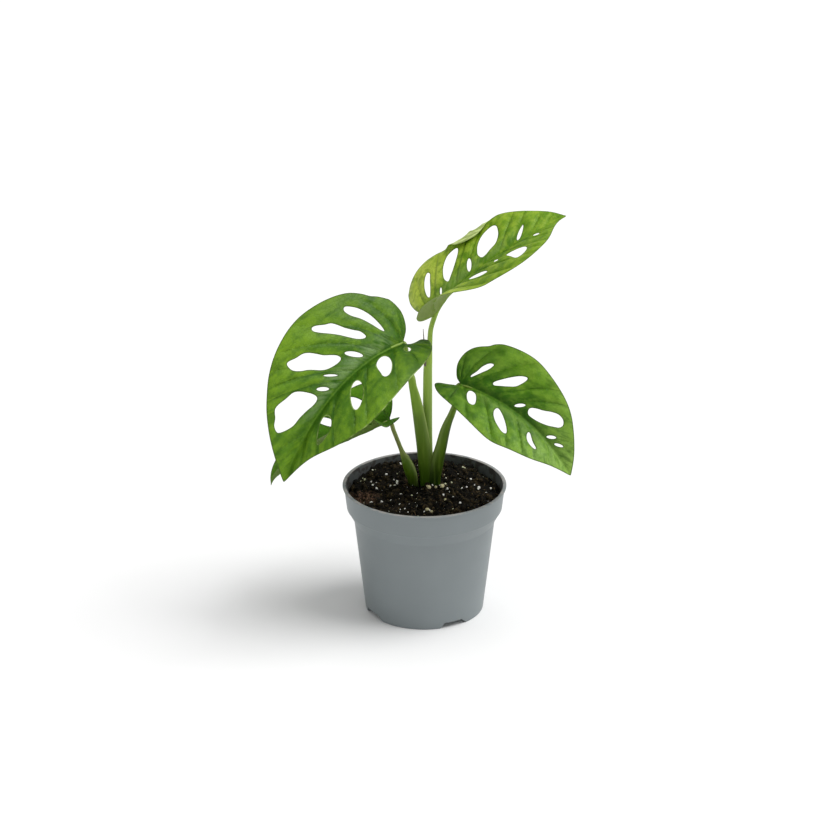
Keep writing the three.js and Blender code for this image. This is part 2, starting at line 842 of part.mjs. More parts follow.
function soilHeight(lumps) {
  return (x, y) => {
    const fromCrown = (x - crown.x) ** 2 + (y - crown.y) ** 2;
    const mound = soil.mound * Math.exp(-fromCrown / (2 * soil.moundSpread ** 2));
    let lump = 0;
    for (const { x: lumpX, y: lumpY, radius, height } of lumps) {
      const away = ((x - lumpX) ** 2 + (y - lumpY) ** 2) / radius ** 2;
      lump = Math.max(lump, height * (1 - away));
    }
    return soil.edgeHeight + mound + lump;
  };
}

// The peat fills the pot up to its surface, and the stalks and the crown stand in plain holes.
function makeSoil(stalkHoles) {
  const random = seededRandom(soil.seed);
  const reach = pot.collarFootRadius - pot.wall - gap - soil.clearOfWall;
  const between = ([low, high]) => THREE.MathUtils.lerp(low, high, random());
  const scatter = () => {
    const angle = random() * 2 * Math.PI;
    const radius = reach * Math.sqrt(random());
    return { x: radius * Math.cos(angle), y: radius * Math.sin(angle) };
  };
  const lumps = Array.from({ length: soil.lumps }, () => ({
    ...scatter(), radius: between(soil.lumpRadius), height: between(soil.lumpHeight),
  }));
  const height = soilHeight(lumps);
  const points = [];
  const faces = [];
  const { rings, spokes } = soil;
  const addRing = (radius, heightAt) => {
    for (let k = 0; k < spokes; k += 1) {
      const angle = (k / spokes) * 2 * Math.PI;
      const x = radius * Math.cos(angle);
      const y = radius * Math.sin(angle);
      points.push(new THREE.Vector3(x, y, heightAt(x, y)));
    }
  };
  const wall = potInside(gap, soil.edgeHeight);
  for (const [radius, level] of wall) {
    addRing(radius, () => level);
  }
  const [surfaceRadius] = wall[wall.length - 1];
  for (let ring = rings - 1; ring > 0; ring -= 1) {
    addRing((surfaceRadius * ring) / rings, height);
  }
  const ringCount = wall.length + rings - 1;
  for (let ring = 1; ring < ringCount; ring += 1) {
    for (let k = 0; k < spokes; k += 1) {
      const next = (k + 1) % spokes;
      const low = (ring - 1) * spokes;
      const high = ring * spokes;
      faces.push(low + k, low + next, high + next, low + k, high + next, high + k);
    }
  }
  points.push(new THREE.Vector3(0, 0, pot.floor + gap), new THREE.Vector3(0, 0, height(0, 0)));
  const [bottomCentre, topCentre] = [points.length - 2, points.length - 1];
  for (let k = 0; k < spokes; k += 1) {
    const next = (k + 1) % spokes;
    const last = (ringCount - 1) * spokes;
    faces.push(bottomCentre, next, k, topCentre, last + k, last + next);
  }
  let body = toSolid(indexedGeometry(points, faces));
  for (let i = 0; i < soil.grains; i += 1) {
    const { x, y } = scatter();
    const grain = new THREE.IcosahedronGeometry(between(soil.grainRadius), 0);
    grain.rotateX(random() * Math.PI);
    grain.translate(x, y, height(x, y));
    body = body.add(toSolid(grain));
  }
  const holes = stalkHoles.add(crownSolid(gap)).add(drainRoofs(gap));
  return largestPiece(body.subtract(holes));
}

// ---------------------------------------------------------------- the plant in its pot

const group = new THREE.Group();
const { made: stalkBodies, taken: stalksGrown } = makeStalks();

group.add(namedMesh('pot', makePot(), finishes.pot));
group.add(namedMesh('soil', makeSoil(stalksGrown), finishes.soil));
group.add(namedMesh('stem', crownSolid(0), finishes.stem));
for (const [name, leaf] of Object.entries(leaves)) {
  group.add(namedMesh(`leaf_${name}`, bladeSolid(leaf, 0), finishes.leaf[name]));
  group.add(namedMesh(`petiole_${name}`, stalkBodies[name], finishes.stalk));
}

export default group;
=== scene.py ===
import math

import bpy
import numpy as np
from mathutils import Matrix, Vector, geometry, kdtree, noise


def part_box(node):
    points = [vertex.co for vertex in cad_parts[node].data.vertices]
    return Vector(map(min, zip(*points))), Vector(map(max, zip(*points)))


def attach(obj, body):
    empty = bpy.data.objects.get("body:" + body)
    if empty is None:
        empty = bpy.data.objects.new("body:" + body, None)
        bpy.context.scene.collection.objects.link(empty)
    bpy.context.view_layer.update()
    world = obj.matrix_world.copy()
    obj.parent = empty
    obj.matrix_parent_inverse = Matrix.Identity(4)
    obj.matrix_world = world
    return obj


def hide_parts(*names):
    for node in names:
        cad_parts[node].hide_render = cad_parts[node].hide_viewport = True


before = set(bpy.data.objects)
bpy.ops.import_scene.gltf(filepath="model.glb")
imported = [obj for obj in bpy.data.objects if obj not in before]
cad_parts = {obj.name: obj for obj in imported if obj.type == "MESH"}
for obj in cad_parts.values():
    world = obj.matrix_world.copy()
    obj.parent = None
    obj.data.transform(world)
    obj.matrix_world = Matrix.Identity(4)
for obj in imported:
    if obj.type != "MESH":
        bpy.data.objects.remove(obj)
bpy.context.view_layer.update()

# ---------------------------------------------------------------------------------------- pot
# A round nursery pot of thin grey polypropylene, moulded in one piece. It has a small lip, a
# collar below it for stacking, and four shallow recesses in its foot with a drain hole in each.
# Sizes in this file are in millimetres, and make_piece turns them into metres.

MM = 0.001
pot_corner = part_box("pot")[1] / MM
lip_radius, pot_height = pot_corner.x, pot_corner.z
lip_height = 0.9
collar_radius = {"top": 58.3, "foot": 56.5}
collar_foot = pot_height - 17.1
shoulder_radius, shoulder_height = 51.3, pot_height - 26.3
base_radius = 43.2
wall = 1.4
floor_thickness = 2
pot_segments = 192
# The inner wall grows darker between these two heights: partly peat stain, partly painted shade inside the
# pot.
stain_and_shade_foot, stain_and_shade_full = 82, 85
# The sides of a drain recess lean: half is its half angle at the roof, and foot_half at the floor.
# The tool that cuts a hole reaches from cut_foot to cut_top.
drain = {"angles": [-61, 29, 119, 209], "half": 9.5, "foot_half": 14.5, "inner": 33, "height": 4.3,
         "roof": 1.6, "hole": 2.6, "cut_foot": 1, "cut_top": 8, "segments": 24}


def rounded(corners, steps=5, longest=5):
    """A profile through corners of (radius, height, rounding), with points along its straights."""
    points = [np.array(corners[0][:2], float)]
    for before, corner, after in zip(corners, corners[1:], corners[2:]):
        at = np.array(corner[:2], float)
        ends = []
        for other in (before, after):
            away = np.array(other[:2], float) - at
            ends.append(at + away * min(corner[2] / np.linalg.norm(away), 0.45))
        for t in np.linspace(0, 1, steps) if corner[2] else [0.5]:
            points.append((1 - t) ** 2 * ends[0] + 2 * t * (1 - t) * at + t ** 2 * ends[1])
    points.append(np.array(corners[-1][:2], float))
    filled = points[:1]
    for a, b in zip(points, points[1:]):
        parts = max(1, math.ceil(np.linalg.norm(b - a) / longest))
        filled += [a + (b - a) * k / parts for k in range(1, parts + 1)]
    return filled


def lathe(profile, segments):
    """Points and faces of a profile turned about Z. It starts and ends on the axis."""
    points = [(0, 0, profile[0][1])]
    for radius, height in profile[1:-1]:
        for k in range(segments):
            angle = 2 * math.pi * k / segments
            points.append((radius * math.cos(angle), radius * math.sin(angle), height))
    points.append((0, 0, profile[-1][1]))
    faces = []
    rings = len(profile) - 2
    for k in range(segments):
        after = (k + 1) % segments
        faces.append((0, 1 + after, 1 + k))
        for ring in range(rings - 1):
            low, high = 1 + ring * segments, 1 + (ring + 1) * segments
            faces.append((low + k, low + after, high + after, high + k))
        last = 1 + (rings - 1) * segments
        faces.append((last + k, last + after, len(points) - 1))
    return points, faces


def arc_block(angle, side_wall, inner, outer, bottom, top, steps=12):
    """A block with arc-shaped ends and leaning sides, as points and triangles."""
    points = []
    for k in range(steps + 1):
        for radius, height in ((inner, bottom), (outer, bottom), (outer, top), (inner, top)):
            half = drain["foot_half"] + (drain["half"] - drain["foot_half"]) * height / drain["height"]
            turn = math.radians(angle + (half + side_wall) * (2 * k / steps - 1))
            points.append((radius * math.cos(turn), radius * math.sin(turn), height))
    quads = [(0, 1, 2, 3), tuple(4 * steps + k for k in (3, 2, 1, 0))]
    for k in range(steps):
        for side in range(4):
            after = (side + 1) % 4
            quads.append((4 * k + side, 4 * k + 4 + side, 4 * k + 4 + after, 4 * k + after))
    return points, [triangle for a, b, c, d in quads for triangle in ((a, b, c), (a, c, d))]


def join_shapes(shapes):
    """Several (points, faces) as one."""
    points, faces = [], []
    for more, added in shapes:
        faces += [tuple(len(points) + i for i in face) for face in added]
        points += list(more)
    return points, faces


def make_piece(name, points, faces, sharp=30):
    """An object at the origin, smooth but for edges sharper than that many degrees."""
    mesh = bpy.data.meshes.new(name)
    mesh.from_pydata((np.array(points, float) * MM).tolist(), [], [tuple(map(int, f)) for f in faces])
    mesh.shade_smooth()
    mesh.set_sharp_from_angle(angle=math.radians(sharp))
    piece = bpy.data.objects.new(name, mesh)
    bpy.context.scene.collection.objects.link(piece)
    return piece


def settle_modifiers(piece):
    """Turns what the modifiers make into the piece's own mesh, and removes them."""
    evaluated = piece.evaluated_get(bpy.context.evaluated_depsgraph_get())
    mesh = bpy.data.meshes.new_from_object(evaluated)
    piece.modifiers.clear()
    piece.data = mesh


def combine(piece, operation, shape):
    """Adds a shape to a piece or cuts it out of it."""
    tool = make_piece("tool", *shape)
    modifier = piece.modifiers.new("combine", "BOOLEAN")
    modifier.operation = operation
    modifier.solver = "EXACT"
    modifier.object = tool
    settle_modifiers(piece)
    bpy.data.objects.remove(tool)


def set_finish(piece, finish, slot, *nodes):
    """Gives a piece its material, and says which nodes it stands for. The slot is not used."""
    piece.data.materials.clear()
    piece.data.materials.append(finish)
    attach(piece, "root")
    if nodes:
        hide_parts(*nodes)


class Wire:
    """An output of a node. Sums, differences, products and powers of wires add Math nodes."""

    def __init__(self, tree, socket):
        self.tree = tree
        self.socket = socket

    def math(self, operation, a, b):
        return self.tree.node("ShaderNodeMath", {"operation": operation}, {0: a, 1: b})

    def __add__(self, other):
        return self.math("ADD", self, other)

    def __radd__(self, other):
        return self.math("ADD", other, self)

    def __sub__(self, other):
        return self.math("SUBTRACT", self, other)

    def __rsub__(self, other):
        return self.math("SUBTRACT", other, self)

    def __mul__(self, other):
        return self.math("MULTIPLY", self, other)

    def __rmul__(self, other):
        return self.math("MULTIPLY", other, self)

    def __pow__(self, other):
        return self.math("POWER", self, other)

    def output(self, name):
        """Another output of the same node."""
        return Wire(self.tree, self.socket.node.outputs[name])


class NodeTree:
    """A tree of shader or geometry nodes, which node() adds to."""

    def __init__(self, tree):
        self.tree = tree

    def node(self, kind, settings=None, sockets=None, output=0):
        made = self.tree.nodes.new(kind)
        for key, value in (settings or {}).items():
            setattr(made, key, value)
        for key, value in (sockets or {}).items():
            if isinstance(value, Wire):
                self.tree.links.new(value.socket, made.inputs[key])
            else:
                made.inputs[key].default_value = value
        return Wire(self, made.outputs[output]) if made.outputs else None


class Finish(NodeTree):
    """A material's tree, with the few nodes that every finish here is made of."""

    def __init__(self, name):
        self.material = bpy.data.materials.new(name)
        self.material.use_nodes = True
        self.material.node_tree.nodes.clear()
        super().__init__(self.material.node_tree)
        self.place = self.node("ShaderNodeTexCoord", output="Object")

    def mix(self, share, a, b):
        """Colour a where share is 0, and b where it is 1."""
        settings = {"data_type": "RGBA", "clamp_factor": True}
        return self.node("ShaderNodeMix", settings, {0: share, 6: a, 7: b}, output=2)

    def ramp(self, value, low, high):
        """0 below low, 1 above high, and smooth between. With low above high it falls."""
        settings = {"interpolation_type": "SMOOTHSTEP"}
        sockets = {0: value, 1: low, 2: high, 3: 0.0, 4: 1.0}
        if low > high:
            sockets = {0: value, 1: high, 2: low, 3: 1.0, 4: 0.0}
        return self.node("ShaderNodeMapRange", settings, sockets)

    def stretch(self, x, y, z, vector=None):
        """A place with each direction scaled."""
        sockets = {0: vector or self.place, 1: (x, y, z)}
        return self.node("ShaderNodeVectorMath", {"operation": "MULTIPLY"}, sockets)

    def cloud(self, size, detail=3.0, vector=None):
        """Noise from 0 to 1 whose lumps are about size mm wide, or size units of the vector given."""
        scale = 1 / (size * MM) if vector is None else 1 / size
        sockets = {"Vector": vector or self.place, "Scale": scale, "Detail": detail}
        return self.node("ShaderNodeTexNoise", sockets=sockets)

    def height(self):
        """How high a place is, in millimetres."""
        return self.node("ShaderNodeSeparateXYZ", sockets={0: self.place}, output="Z") * (1 / MM)

    def measure(self, name):
        """A number that the mesh keeps at each of its points."""
        return self.node("ShaderNodeAttribute", {"attribute_name": name}, output="Fac")

    def bump(self, height, depth):
        """A normal from a height between 0 and 1 that stands depth mm proud."""
        return self.node("ShaderNodeBump", sockets={"Distance": depth * MM, "Height": height})

    def surface(self, base_color, roughness, normal=None, specular=0.5):
        sockets = {"Base Color": base_color, "Roughness": roughness, "Specular IOR Level": specular}
        if normal:
            sockets["Normal"] = normal
        return self.node("ShaderNodeBsdfPrincipled", sockets=sockets)

    def done(self, shader):
        self.node("ShaderNodeOutputMaterial", sockets={"Surface": shader})
        return self.material


def srgb(red, green, blue):
    """A colour given as 0 to 255 on a screen, in the linear numbers that shaders take."""
    linear = [c / 12.92 if c <= 0.04045 else ((c + 0.055) / 1.055) ** 2.4
              for c in (red / 255, green / 255, blue / 255)]
    return (*linear, 1.0)


def pot_plastic():
    finish = Finish("pot_plastic")
    grey = finish.mix(finish.cloud(30, 2), srgb(119, 127, 129), srgb(128, 136, 138))
    fine = finish.cloud(0.5, 2)
    grey = finish.mix(finish.ramp(fine, 0.6, 0.8) * 0.2, grey, srgb(138, 146, 149))
    radius = finish.node("ShaderNodeVectorMath", {"operation": "LENGTH"},
                         {0: finish.stretch(1 / MM, 1 / MM, 0)}, output="Value")
    height = finish.height()
    # The inner wall is painted darker, partly as peat stain and partly as painted shade inside the pot, and
    # brown peat smears lie on it in patches. The top of the lip is paler in patches.
    collar_slope = (collar_radius["top"] - collar_radius["foot"]) / (pot_height - collar_foot)
    outer_wall = (height - collar_foot) * collar_slope + collar_radius["foot"]
    inside = finish.ramp(radius - outer_wall, -0.5, -1.0) * finish.ramp(height, stain_and_shade_foot, stain_and_shade_full)
    # Painted shade and peat stain: the inner wall is darkened towards dark grey.
    grey = finish.mix(inside * 0.75, grey, srgb(60, 61, 60))
    smear = finish.ramp(finish.cloud(7, 5), 0.5, 0.6) * inside
    grey = finish.mix(smear * 0.8, grey, srgb(40, 32, 25))
    pale_lip_top = finish.ramp(height, pot_height - 0.25, pot_height - 0.05)
    grey = finish.mix(pale_lip_top * finish.ramp(finish.cloud(6), 0.35, 0.6) * 0.7, grey, srgb(160, 155, 151))
    roughness = 0.42 + finish.cloud(12) * 0.12 + smear * 0.2
    grain = finish.bump(fine * 0.5 + finish.cloud(3, 2) * 0.5, 0.03)
    return finish.done(finish.surface(base_color=grey, roughness=roughness, normal=grain, specular=0.55))


lip_foot = pot_height - lip_height
outside = [
    (0, 0, 0),
    (base_radius, 0, 0.6),
    (shoulder_radius, shoulder_height, 0.8),
    (collar_radius["foot"] - 0.6, collar_foot - 0.6, 0.2),
    (collar_radius["foot"], collar_foot, 0.3),
    (collar_radius["top"], lip_foot - 0.5, 0.3),
    (lip_radius - 0.2, lip_foot, 0.15),
    (lip_radius, lip_foot + 0.2, 0.15),
    (lip_radius, pot_height, 0.3),
]
inside = [
    (collar_radius["top"] - wall, pot_height, 0.4),
    (collar_radius["foot"] - wall, collar_foot, 1),
    (shoulder_radius - wall, shoulder_height, 1),
    (base_radius - wall, floor_thickness, 1),
    (0, floor_thickness, 0),
]
pot = make_piece("nursery_pot", *lathe(rounded(outside + inside), pot_segments))
side_wall = math.degrees(drain["roof"] / drain["inner"])
combine(pot, "UNION", join_shapes(
    arc_block(angle, side_wall, drain["inner"] - drain["roof"], base_radius - wall / 2,
              floor_thickness / 2, drain["height"] + drain["roof"]) for angle in drain["angles"]))
combine(pot, "DIFFERENCE", join_shapes(
    arc_block(angle, 0, drain["inner"], lip_radius, -drain["height"], drain["height"])
    for angle in drain["angles"]))
hole_profile = [(0, drain["cut_foot"]), (drain["hole"], drain["cut_foot"]),
                (drain["hole"], drain["cut_top"]), (0, drain["cut_top"])]
hole_points, hole_faces = lathe(hole_profile, drain["segments"])
hole_out = (drain["inner"] + base_radius - wall) / 2
combine(pot, "DIFFERENCE", join_shapes(
    ([(x + hole_out * math.cos(math.radians(angle)), y + hole_out * math.sin(math.radians(angle)), z)
      for x, y, z in hole_points], hole_faces) for angle in drain["angles"]))
pot.data.shade_smooth()
pot.data.set_sharp_from_angle(angle=math.radians(32))
set_finish(pot, pot_plastic(), "pot_plastic", "pot")

# --------------------------------------------------------------------------------------- peat
# Moist black peat fills the pot to a centimetre below its rim and is mounded round the plant.
# Crumbs and brown fibres of it, and white grains of perlite, lie loose on top.

soil_edge = 87
mound = {"x": 1, "y": 14, "height": 4, "spread": 20}
dry_patch = (-43, -6, 87)
peat_gap = 0.3
peat_rings, peat_spokes = 84, 240
drain_top = drain["height"] + drain["roof"] + peat_gap
side_heights = (drain_top, 20, 40, shoulder_height, collar_foot, 82)


def wall_radius(height):
    """The inside of the pot at a height, less the gap."""
    levels = [floor_thickness, shoulder_height, collar_foot, pot_height]
    radii = [base_radius, shoulder_radius, collar_radius["foot"], collar_radius["top"]]
    return np.interp(height, levels, radii) - wall - peat_gap


def peat_height(x, y):
    away = (x - mound["x"]) ** 2 + (y - mound["y"]) ** 2
    level = soil_edge + mound["height"] * math.exp(-away / (2 * mound["spread"] ** 2))
    coarse = noise.fractal(Vector((x / 12, y / 12, 3.1)), 0.8, 2.1, 3)
    lumps = abs(noise.fractal(Vector((x / 5, y / 5, 7.7)), 0.7, 2.2, 3))
    fine = noise.fractal(Vector((x / 1.6, y / 1.6, 1.3)), 0.6, 2.1, 2)
    hollow = max(0, noise.noise(Vector((x / 6, y / 6, 5.2))) - 0.1)
    heaped = min(max(y / 45, 0), 1) ** 2 * 4 + min(max((-x - 10) / 40, 0), 1) * 1.2
    return level + heaped - 0.5 + 1.4 * coarse + 3 * lumps + 0.3 * fine - 6 * hollow


surface_radius = wall_radius(soil_edge)
sunken = [(wall_radius(height), height) for height in side_heights]
top_points, top_faces = [], []
for ring in range(peat_rings + 1):
    radius = surface_radius * (1 - ring / (peat_rings + 1))
    for k in range(peat_spokes):
        angle = 2 * math.pi * k / peat_spokes
        x, y = radius * math.cos(angle), radius * math.sin(angle)
        top_points.append((x, y, peat_height(x, y)))
        if ring:
            after = (k + 1) % peat_spokes
            low, high = (ring - 1) * peat_spokes, ring * peat_spokes
            top_faces.append((low + k, low + after, high + after, high + k))
top_points.append((0, 0, peat_height(0, 0)))
for k in range(peat_spokes):
    last = peat_rings * peat_spokes
    top_faces.append((last + k, last + (k + 1) % peat_spokes, len(top_points) - 1))
side_points, side_faces = lathe([(0, drain_top), *sunken, (0, 0)], peat_spokes)
side_faces = [face for face in side_faces if len(side_points) - 1 not in face]
side_points.pop()
rim = len(side_points) - peat_spokes
for k in range(peat_spokes):
    after = (k + 1) % peat_spokes
    side_faces.append((rim + k, rim + after, len(side_points) + after, len(side_points) + k))
side_faces += [tuple(i + len(side_points) for i in face) for face in top_faces]


def peat_finish(name, dark, brown, grain):
    """Wet peat, paler in patches, with one patch of dry, reddish crumbs."""
    finish = Finish(name)
    patch = finish.ramp(finish.cloud(9, 4), 0.45, 0.7)
    fine = finish.cloud(grain, 3)
    colour = finish.mix(patch * 0.3 + finish.ramp(fine, 0.54, 0.68) * 0.8, dark, brown)
    off = finish.node("ShaderNodeVectorMath", {"operation": "DISTANCE"},
                      {0: finish.stretch(1 / MM, 1 / MM, 1 / MM), 1: dry_patch}, output="Value")
    dry = finish.ramp(off + fine * 12, 20, 12) * finish.ramp(fine, 0.4, 0.6)
    colour = finish.mix(dry * 0.7, colour, srgb(122, 92, 74))
    rough = finish.bump(fine, 0.35)
    return finish.done(finish.surface(base_color=colour, roughness=0.85 + fine * 0.15, normal=rough,
                                      specular=0.15))


peat = make_piece("peat", side_points + top_points, side_faces, sharp=180)
set_finish(peat, peat_finish("peat_black", srgb(7, 6, 3), srgb(40, 33, 20), 0.9), "peat", "soil")


def scatter(name, shape, density, smallest, largest, seed, lean, ragged, sink, clear, material):
    """Strews copies of a shape over the top of the peat, density to the square metre. Each is tipped by
    up to lean radians, roughened by ragged and sunk by sink. Clear rings by the wall stay empty."""
    group = bpy.data.node_groups.new(name, "GeometryNodeTree")
    group.interface.new_socket("Ground", in_out="INPUT", socket_type="NodeSocketGeometry")
    chosen = {"Density": density, "Smallest": smallest * MM, "Largest": largest * MM, "Ragged": ragged * MM,
              "Sink": sink * MM}
    inputs = {key: group.interface.new_socket(key, in_out="INPUT", socket_type="NodeSocketFloat")
              for key in chosen}
    group.interface.new_socket("Strewn", in_out="OUTPUT", socket_type="NodeSocketGeometry")
    tree = NodeTree(group)
    given = tree.node("NodeGroupInput")
    spots = tree.node("GeometryNodeDistributePointsOnFaces", {"distribute_method": "RANDOM"},
                      {"Mesh": given, "Density": given.output("Density"), "Seed": seed})
    size = tree.node("FunctionNodeRandomValue", {"data_type": "FLOAT"},
                     {2: 0.0, 3: 1.0, "Seed": seed + 1}, output=1)
    size = given.output("Smallest") + (given.output("Largest") - given.output("Smallest")) * size ** 2
    turn = tree.node("FunctionNodeRandomValue", {"data_type": "FLOAT_VECTOR"},
                     {0: (-lean, -lean, 0), 1: (lean, lean, 2 * math.pi), "Seed": seed + 2})
    strewn = tree.node("GeometryNodeInstanceOnPoints", sockets={
        "Points": spots, "Instance": shape(tree), "Rotation": turn, "Scale": size})
    plain = tree.node("GeometryNodeRealizeInstances", sockets={"Geometry": strewn})
    lump = (smallest + largest) * MM
    wander = tree.node("ShaderNodeTexNoise", sockets={"Scale": 1 / lump, "Detail": 1.0}, output="Color")
    wander = tree.node("ShaderNodeVectorMath", {"operation": "SUBTRACT"}, {0: wander, 1: (0.5, 0.5, 0.5)})
    wander = tree.node("ShaderNodeVectorMath", {"operation": "SCALE"},
                       {0: wander, "Scale": given.output("Ragged")})
    drop = tree.node("ShaderNodeCombineXYZ", sockets={"Z": given.output("Sink") * -1})
    wander = tree.node("ShaderNodeVectorMath", {"operation": "ADD"}, {0: wander, 1: drop})
    moved = tree.node("GeometryNodeSetPosition", sockets={"Geometry": plain, "Offset": wander})
    painted = tree.node("GeometryNodeSetMaterial", sockets={"Geometry": moved, "Material": material})
    tree.node("NodeGroupOutput", sockets={"Strewn": painted})
    piece = make_piece(name, top_points, top_faces[clear * peat_spokes:])
    modifier = piece.modifiers.new(name, "NODES")
    modifier.node_group = group
    for key, value in chosen.items():
        modifier[inputs[key].identifier] = float(value)
    settle_modifiers(piece)
    piece.data.shade_smooth()
    piece.data.set_sharp_from_angle(angle=math.radians(40))
    set_finish(piece, material, "peat")
    return piece


def crumb(tree):
    return tree.node("GeometryNodeMeshIcoSphere", sockets={"Radius": 1.0, "Subdivisions": 2})


def fibre(tree):
    """A thin bent rod that lies along X, one unit long."""
    rod = tree.node("GeometryNodeMeshCylinder", {"fill_type": "NGON"},
                    {"Vertices": 5, "Side Segments": 6, "Radius": 0.022, "Depth": 1.0})
    rod = tree.node("GeometryNodeTransform", sockets={"Geometry": rod, "Rotation": (0, math.pi / 2, 0)})
    along = tree.node("ShaderNodeSeparateXYZ", sockets={0: tree.node("GeometryNodeInputPosition")})
    bow = tree.node("ShaderNodeCombineXYZ", sockets={"Y": along ** 2 * 0.5, "Z": along ** 2 * -0.35})
    return tree.node("GeometryNodeSetPosition", sockets={"Geometry": rod, "Offset": bow})


def perlite_finish(name, clean):
    finish = Finish(name)
    pits = finish.cloud(0.5, 2)
    stain = finish.ramp(finish.cloud(7, 2), 0.5, 0.7)
    green = finish.ramp(finish.cloud(19, 1), 0.56, 0.62)
    colour = finish.mix(stain * 0.4, clean, srgb(160, 148, 124))
    colour = finish.mix(green * 0.6, colour, srgb(176, 180, 90))
    colour = finish.mix(finish.ramp(pits, 0.4, 0.28), colour, srgb(150, 145, 135))
    return finish.done(finish.surface(base_color=colour, roughness=0.85 + pits * 0.1,
                                      normal=finish.bump(pits, 0.2)))


def fibre_finish():
    finish = Finish("peat_fibre")
    colour = finish.mix(finish.ramp(finish.cloud(6, 2), 0.5, 0.7), srgb(34, 25, 16), srgb(104, 84, 58))
    return finish.done(finish.surface(base_color=colour, roughness=0.75 + finish.cloud(1) * 0.2,
                                      specular=0.2))


def large_grain(place, radius):
    """A grain of perlite as wide as it is high, with lumps, as points and faces."""
    steps = 12
    arc = [(radius * math.sin(math.pi * k / steps), -radius * math.cos(math.pi * k / steps))
           for k in range(steps + 1)]
    points, faces = lathe(arc, 2 * steps)
    lumpy = [Vector(p) * (1 + 0.3 * noise.noise(Vector(p) / radius + Vector(place))) for p in points]
    return [tuple(p + Vector(place)) for p in lumpy], faces


half_turn = math.pi
scatter("peat_crumbs", crumb, density=160000, smallest=0.3, largest=2.3, seed=11, lean=half_turn,
        ragged=1.9, sink=0.25, clear=3,
        material=peat_finish("peat_crumb", srgb(7, 6, 3), srgb(84, 70, 45), 1.6))
scatter("peat_fibres", fibre, density=34000, smallest=3, largest=9, seed=23, lean=0.5,
        ragged=1.2, sink=-0.25, clear=9, material=fibre_finish())
scatter("perlite", crumb, density=17000, smallest=0.2, largest=1.15, seed=37, lean=half_turn,
        ragged=1.1, sink=-0.2, clear=3,
        material=perlite_finish("perlite_white", srgb(253, 252, 246)))
# Three larger grains are at the feet of the stalks, at heights of their own. Four lie on the peat.
at_stalks = [((3, 3.5, 92.6), 1.9), ((12.8, 5, 92.6), 1.6), ((8.2, 4.2, 92), 1)]
lying = [((x, y, peat_height(x, y) + 0.5 + radius / 2), radius)
         for x, y, radius in ((2, -29, 1.4), (5, -30, 1.1), (13, -10, 1.2), (15, -13, 0.9))]
large_grains = [large_grain(place, radius) for place, radius in at_stalks + lying]
set_finish(make_piece("perlite_large", *join_shapes(large_grains)),
           perlite_finish("perlite_stained", srgb(200, 192, 150)), "peat")

# ------------------------------------------------------------------------------------- leaves
# Four heart-shaped leaves, each one thin blade with its own long holes between the side veins. A
# blade is folded up a little along its midrib, which stands out of the underside, and it is
# quilted between the veins.

# The midrib loses rib_taper of its height by the tip. Grooves are how deep the midrib and the side
# veins lie in the upper side, and vein_ridge is how far the side veins stand out below. Quilt and
# waves are the heights of the lumps, and net and edge_step the spacing of the blade's points.
blade = {"thickness": 0.55, "edge": 0.3, "rib_height": 1.1, "rib_taper": 0.75, "rib_half_width": 1.7,
         "rib_groove": 0.4, "vein_groove": 0.14, "vein_ridge": 0.16, "quilt": 1.3, "waves": 0.6,
         "fold_rounding": 1.8, "net": 1.25, "edge_step": 0.9}

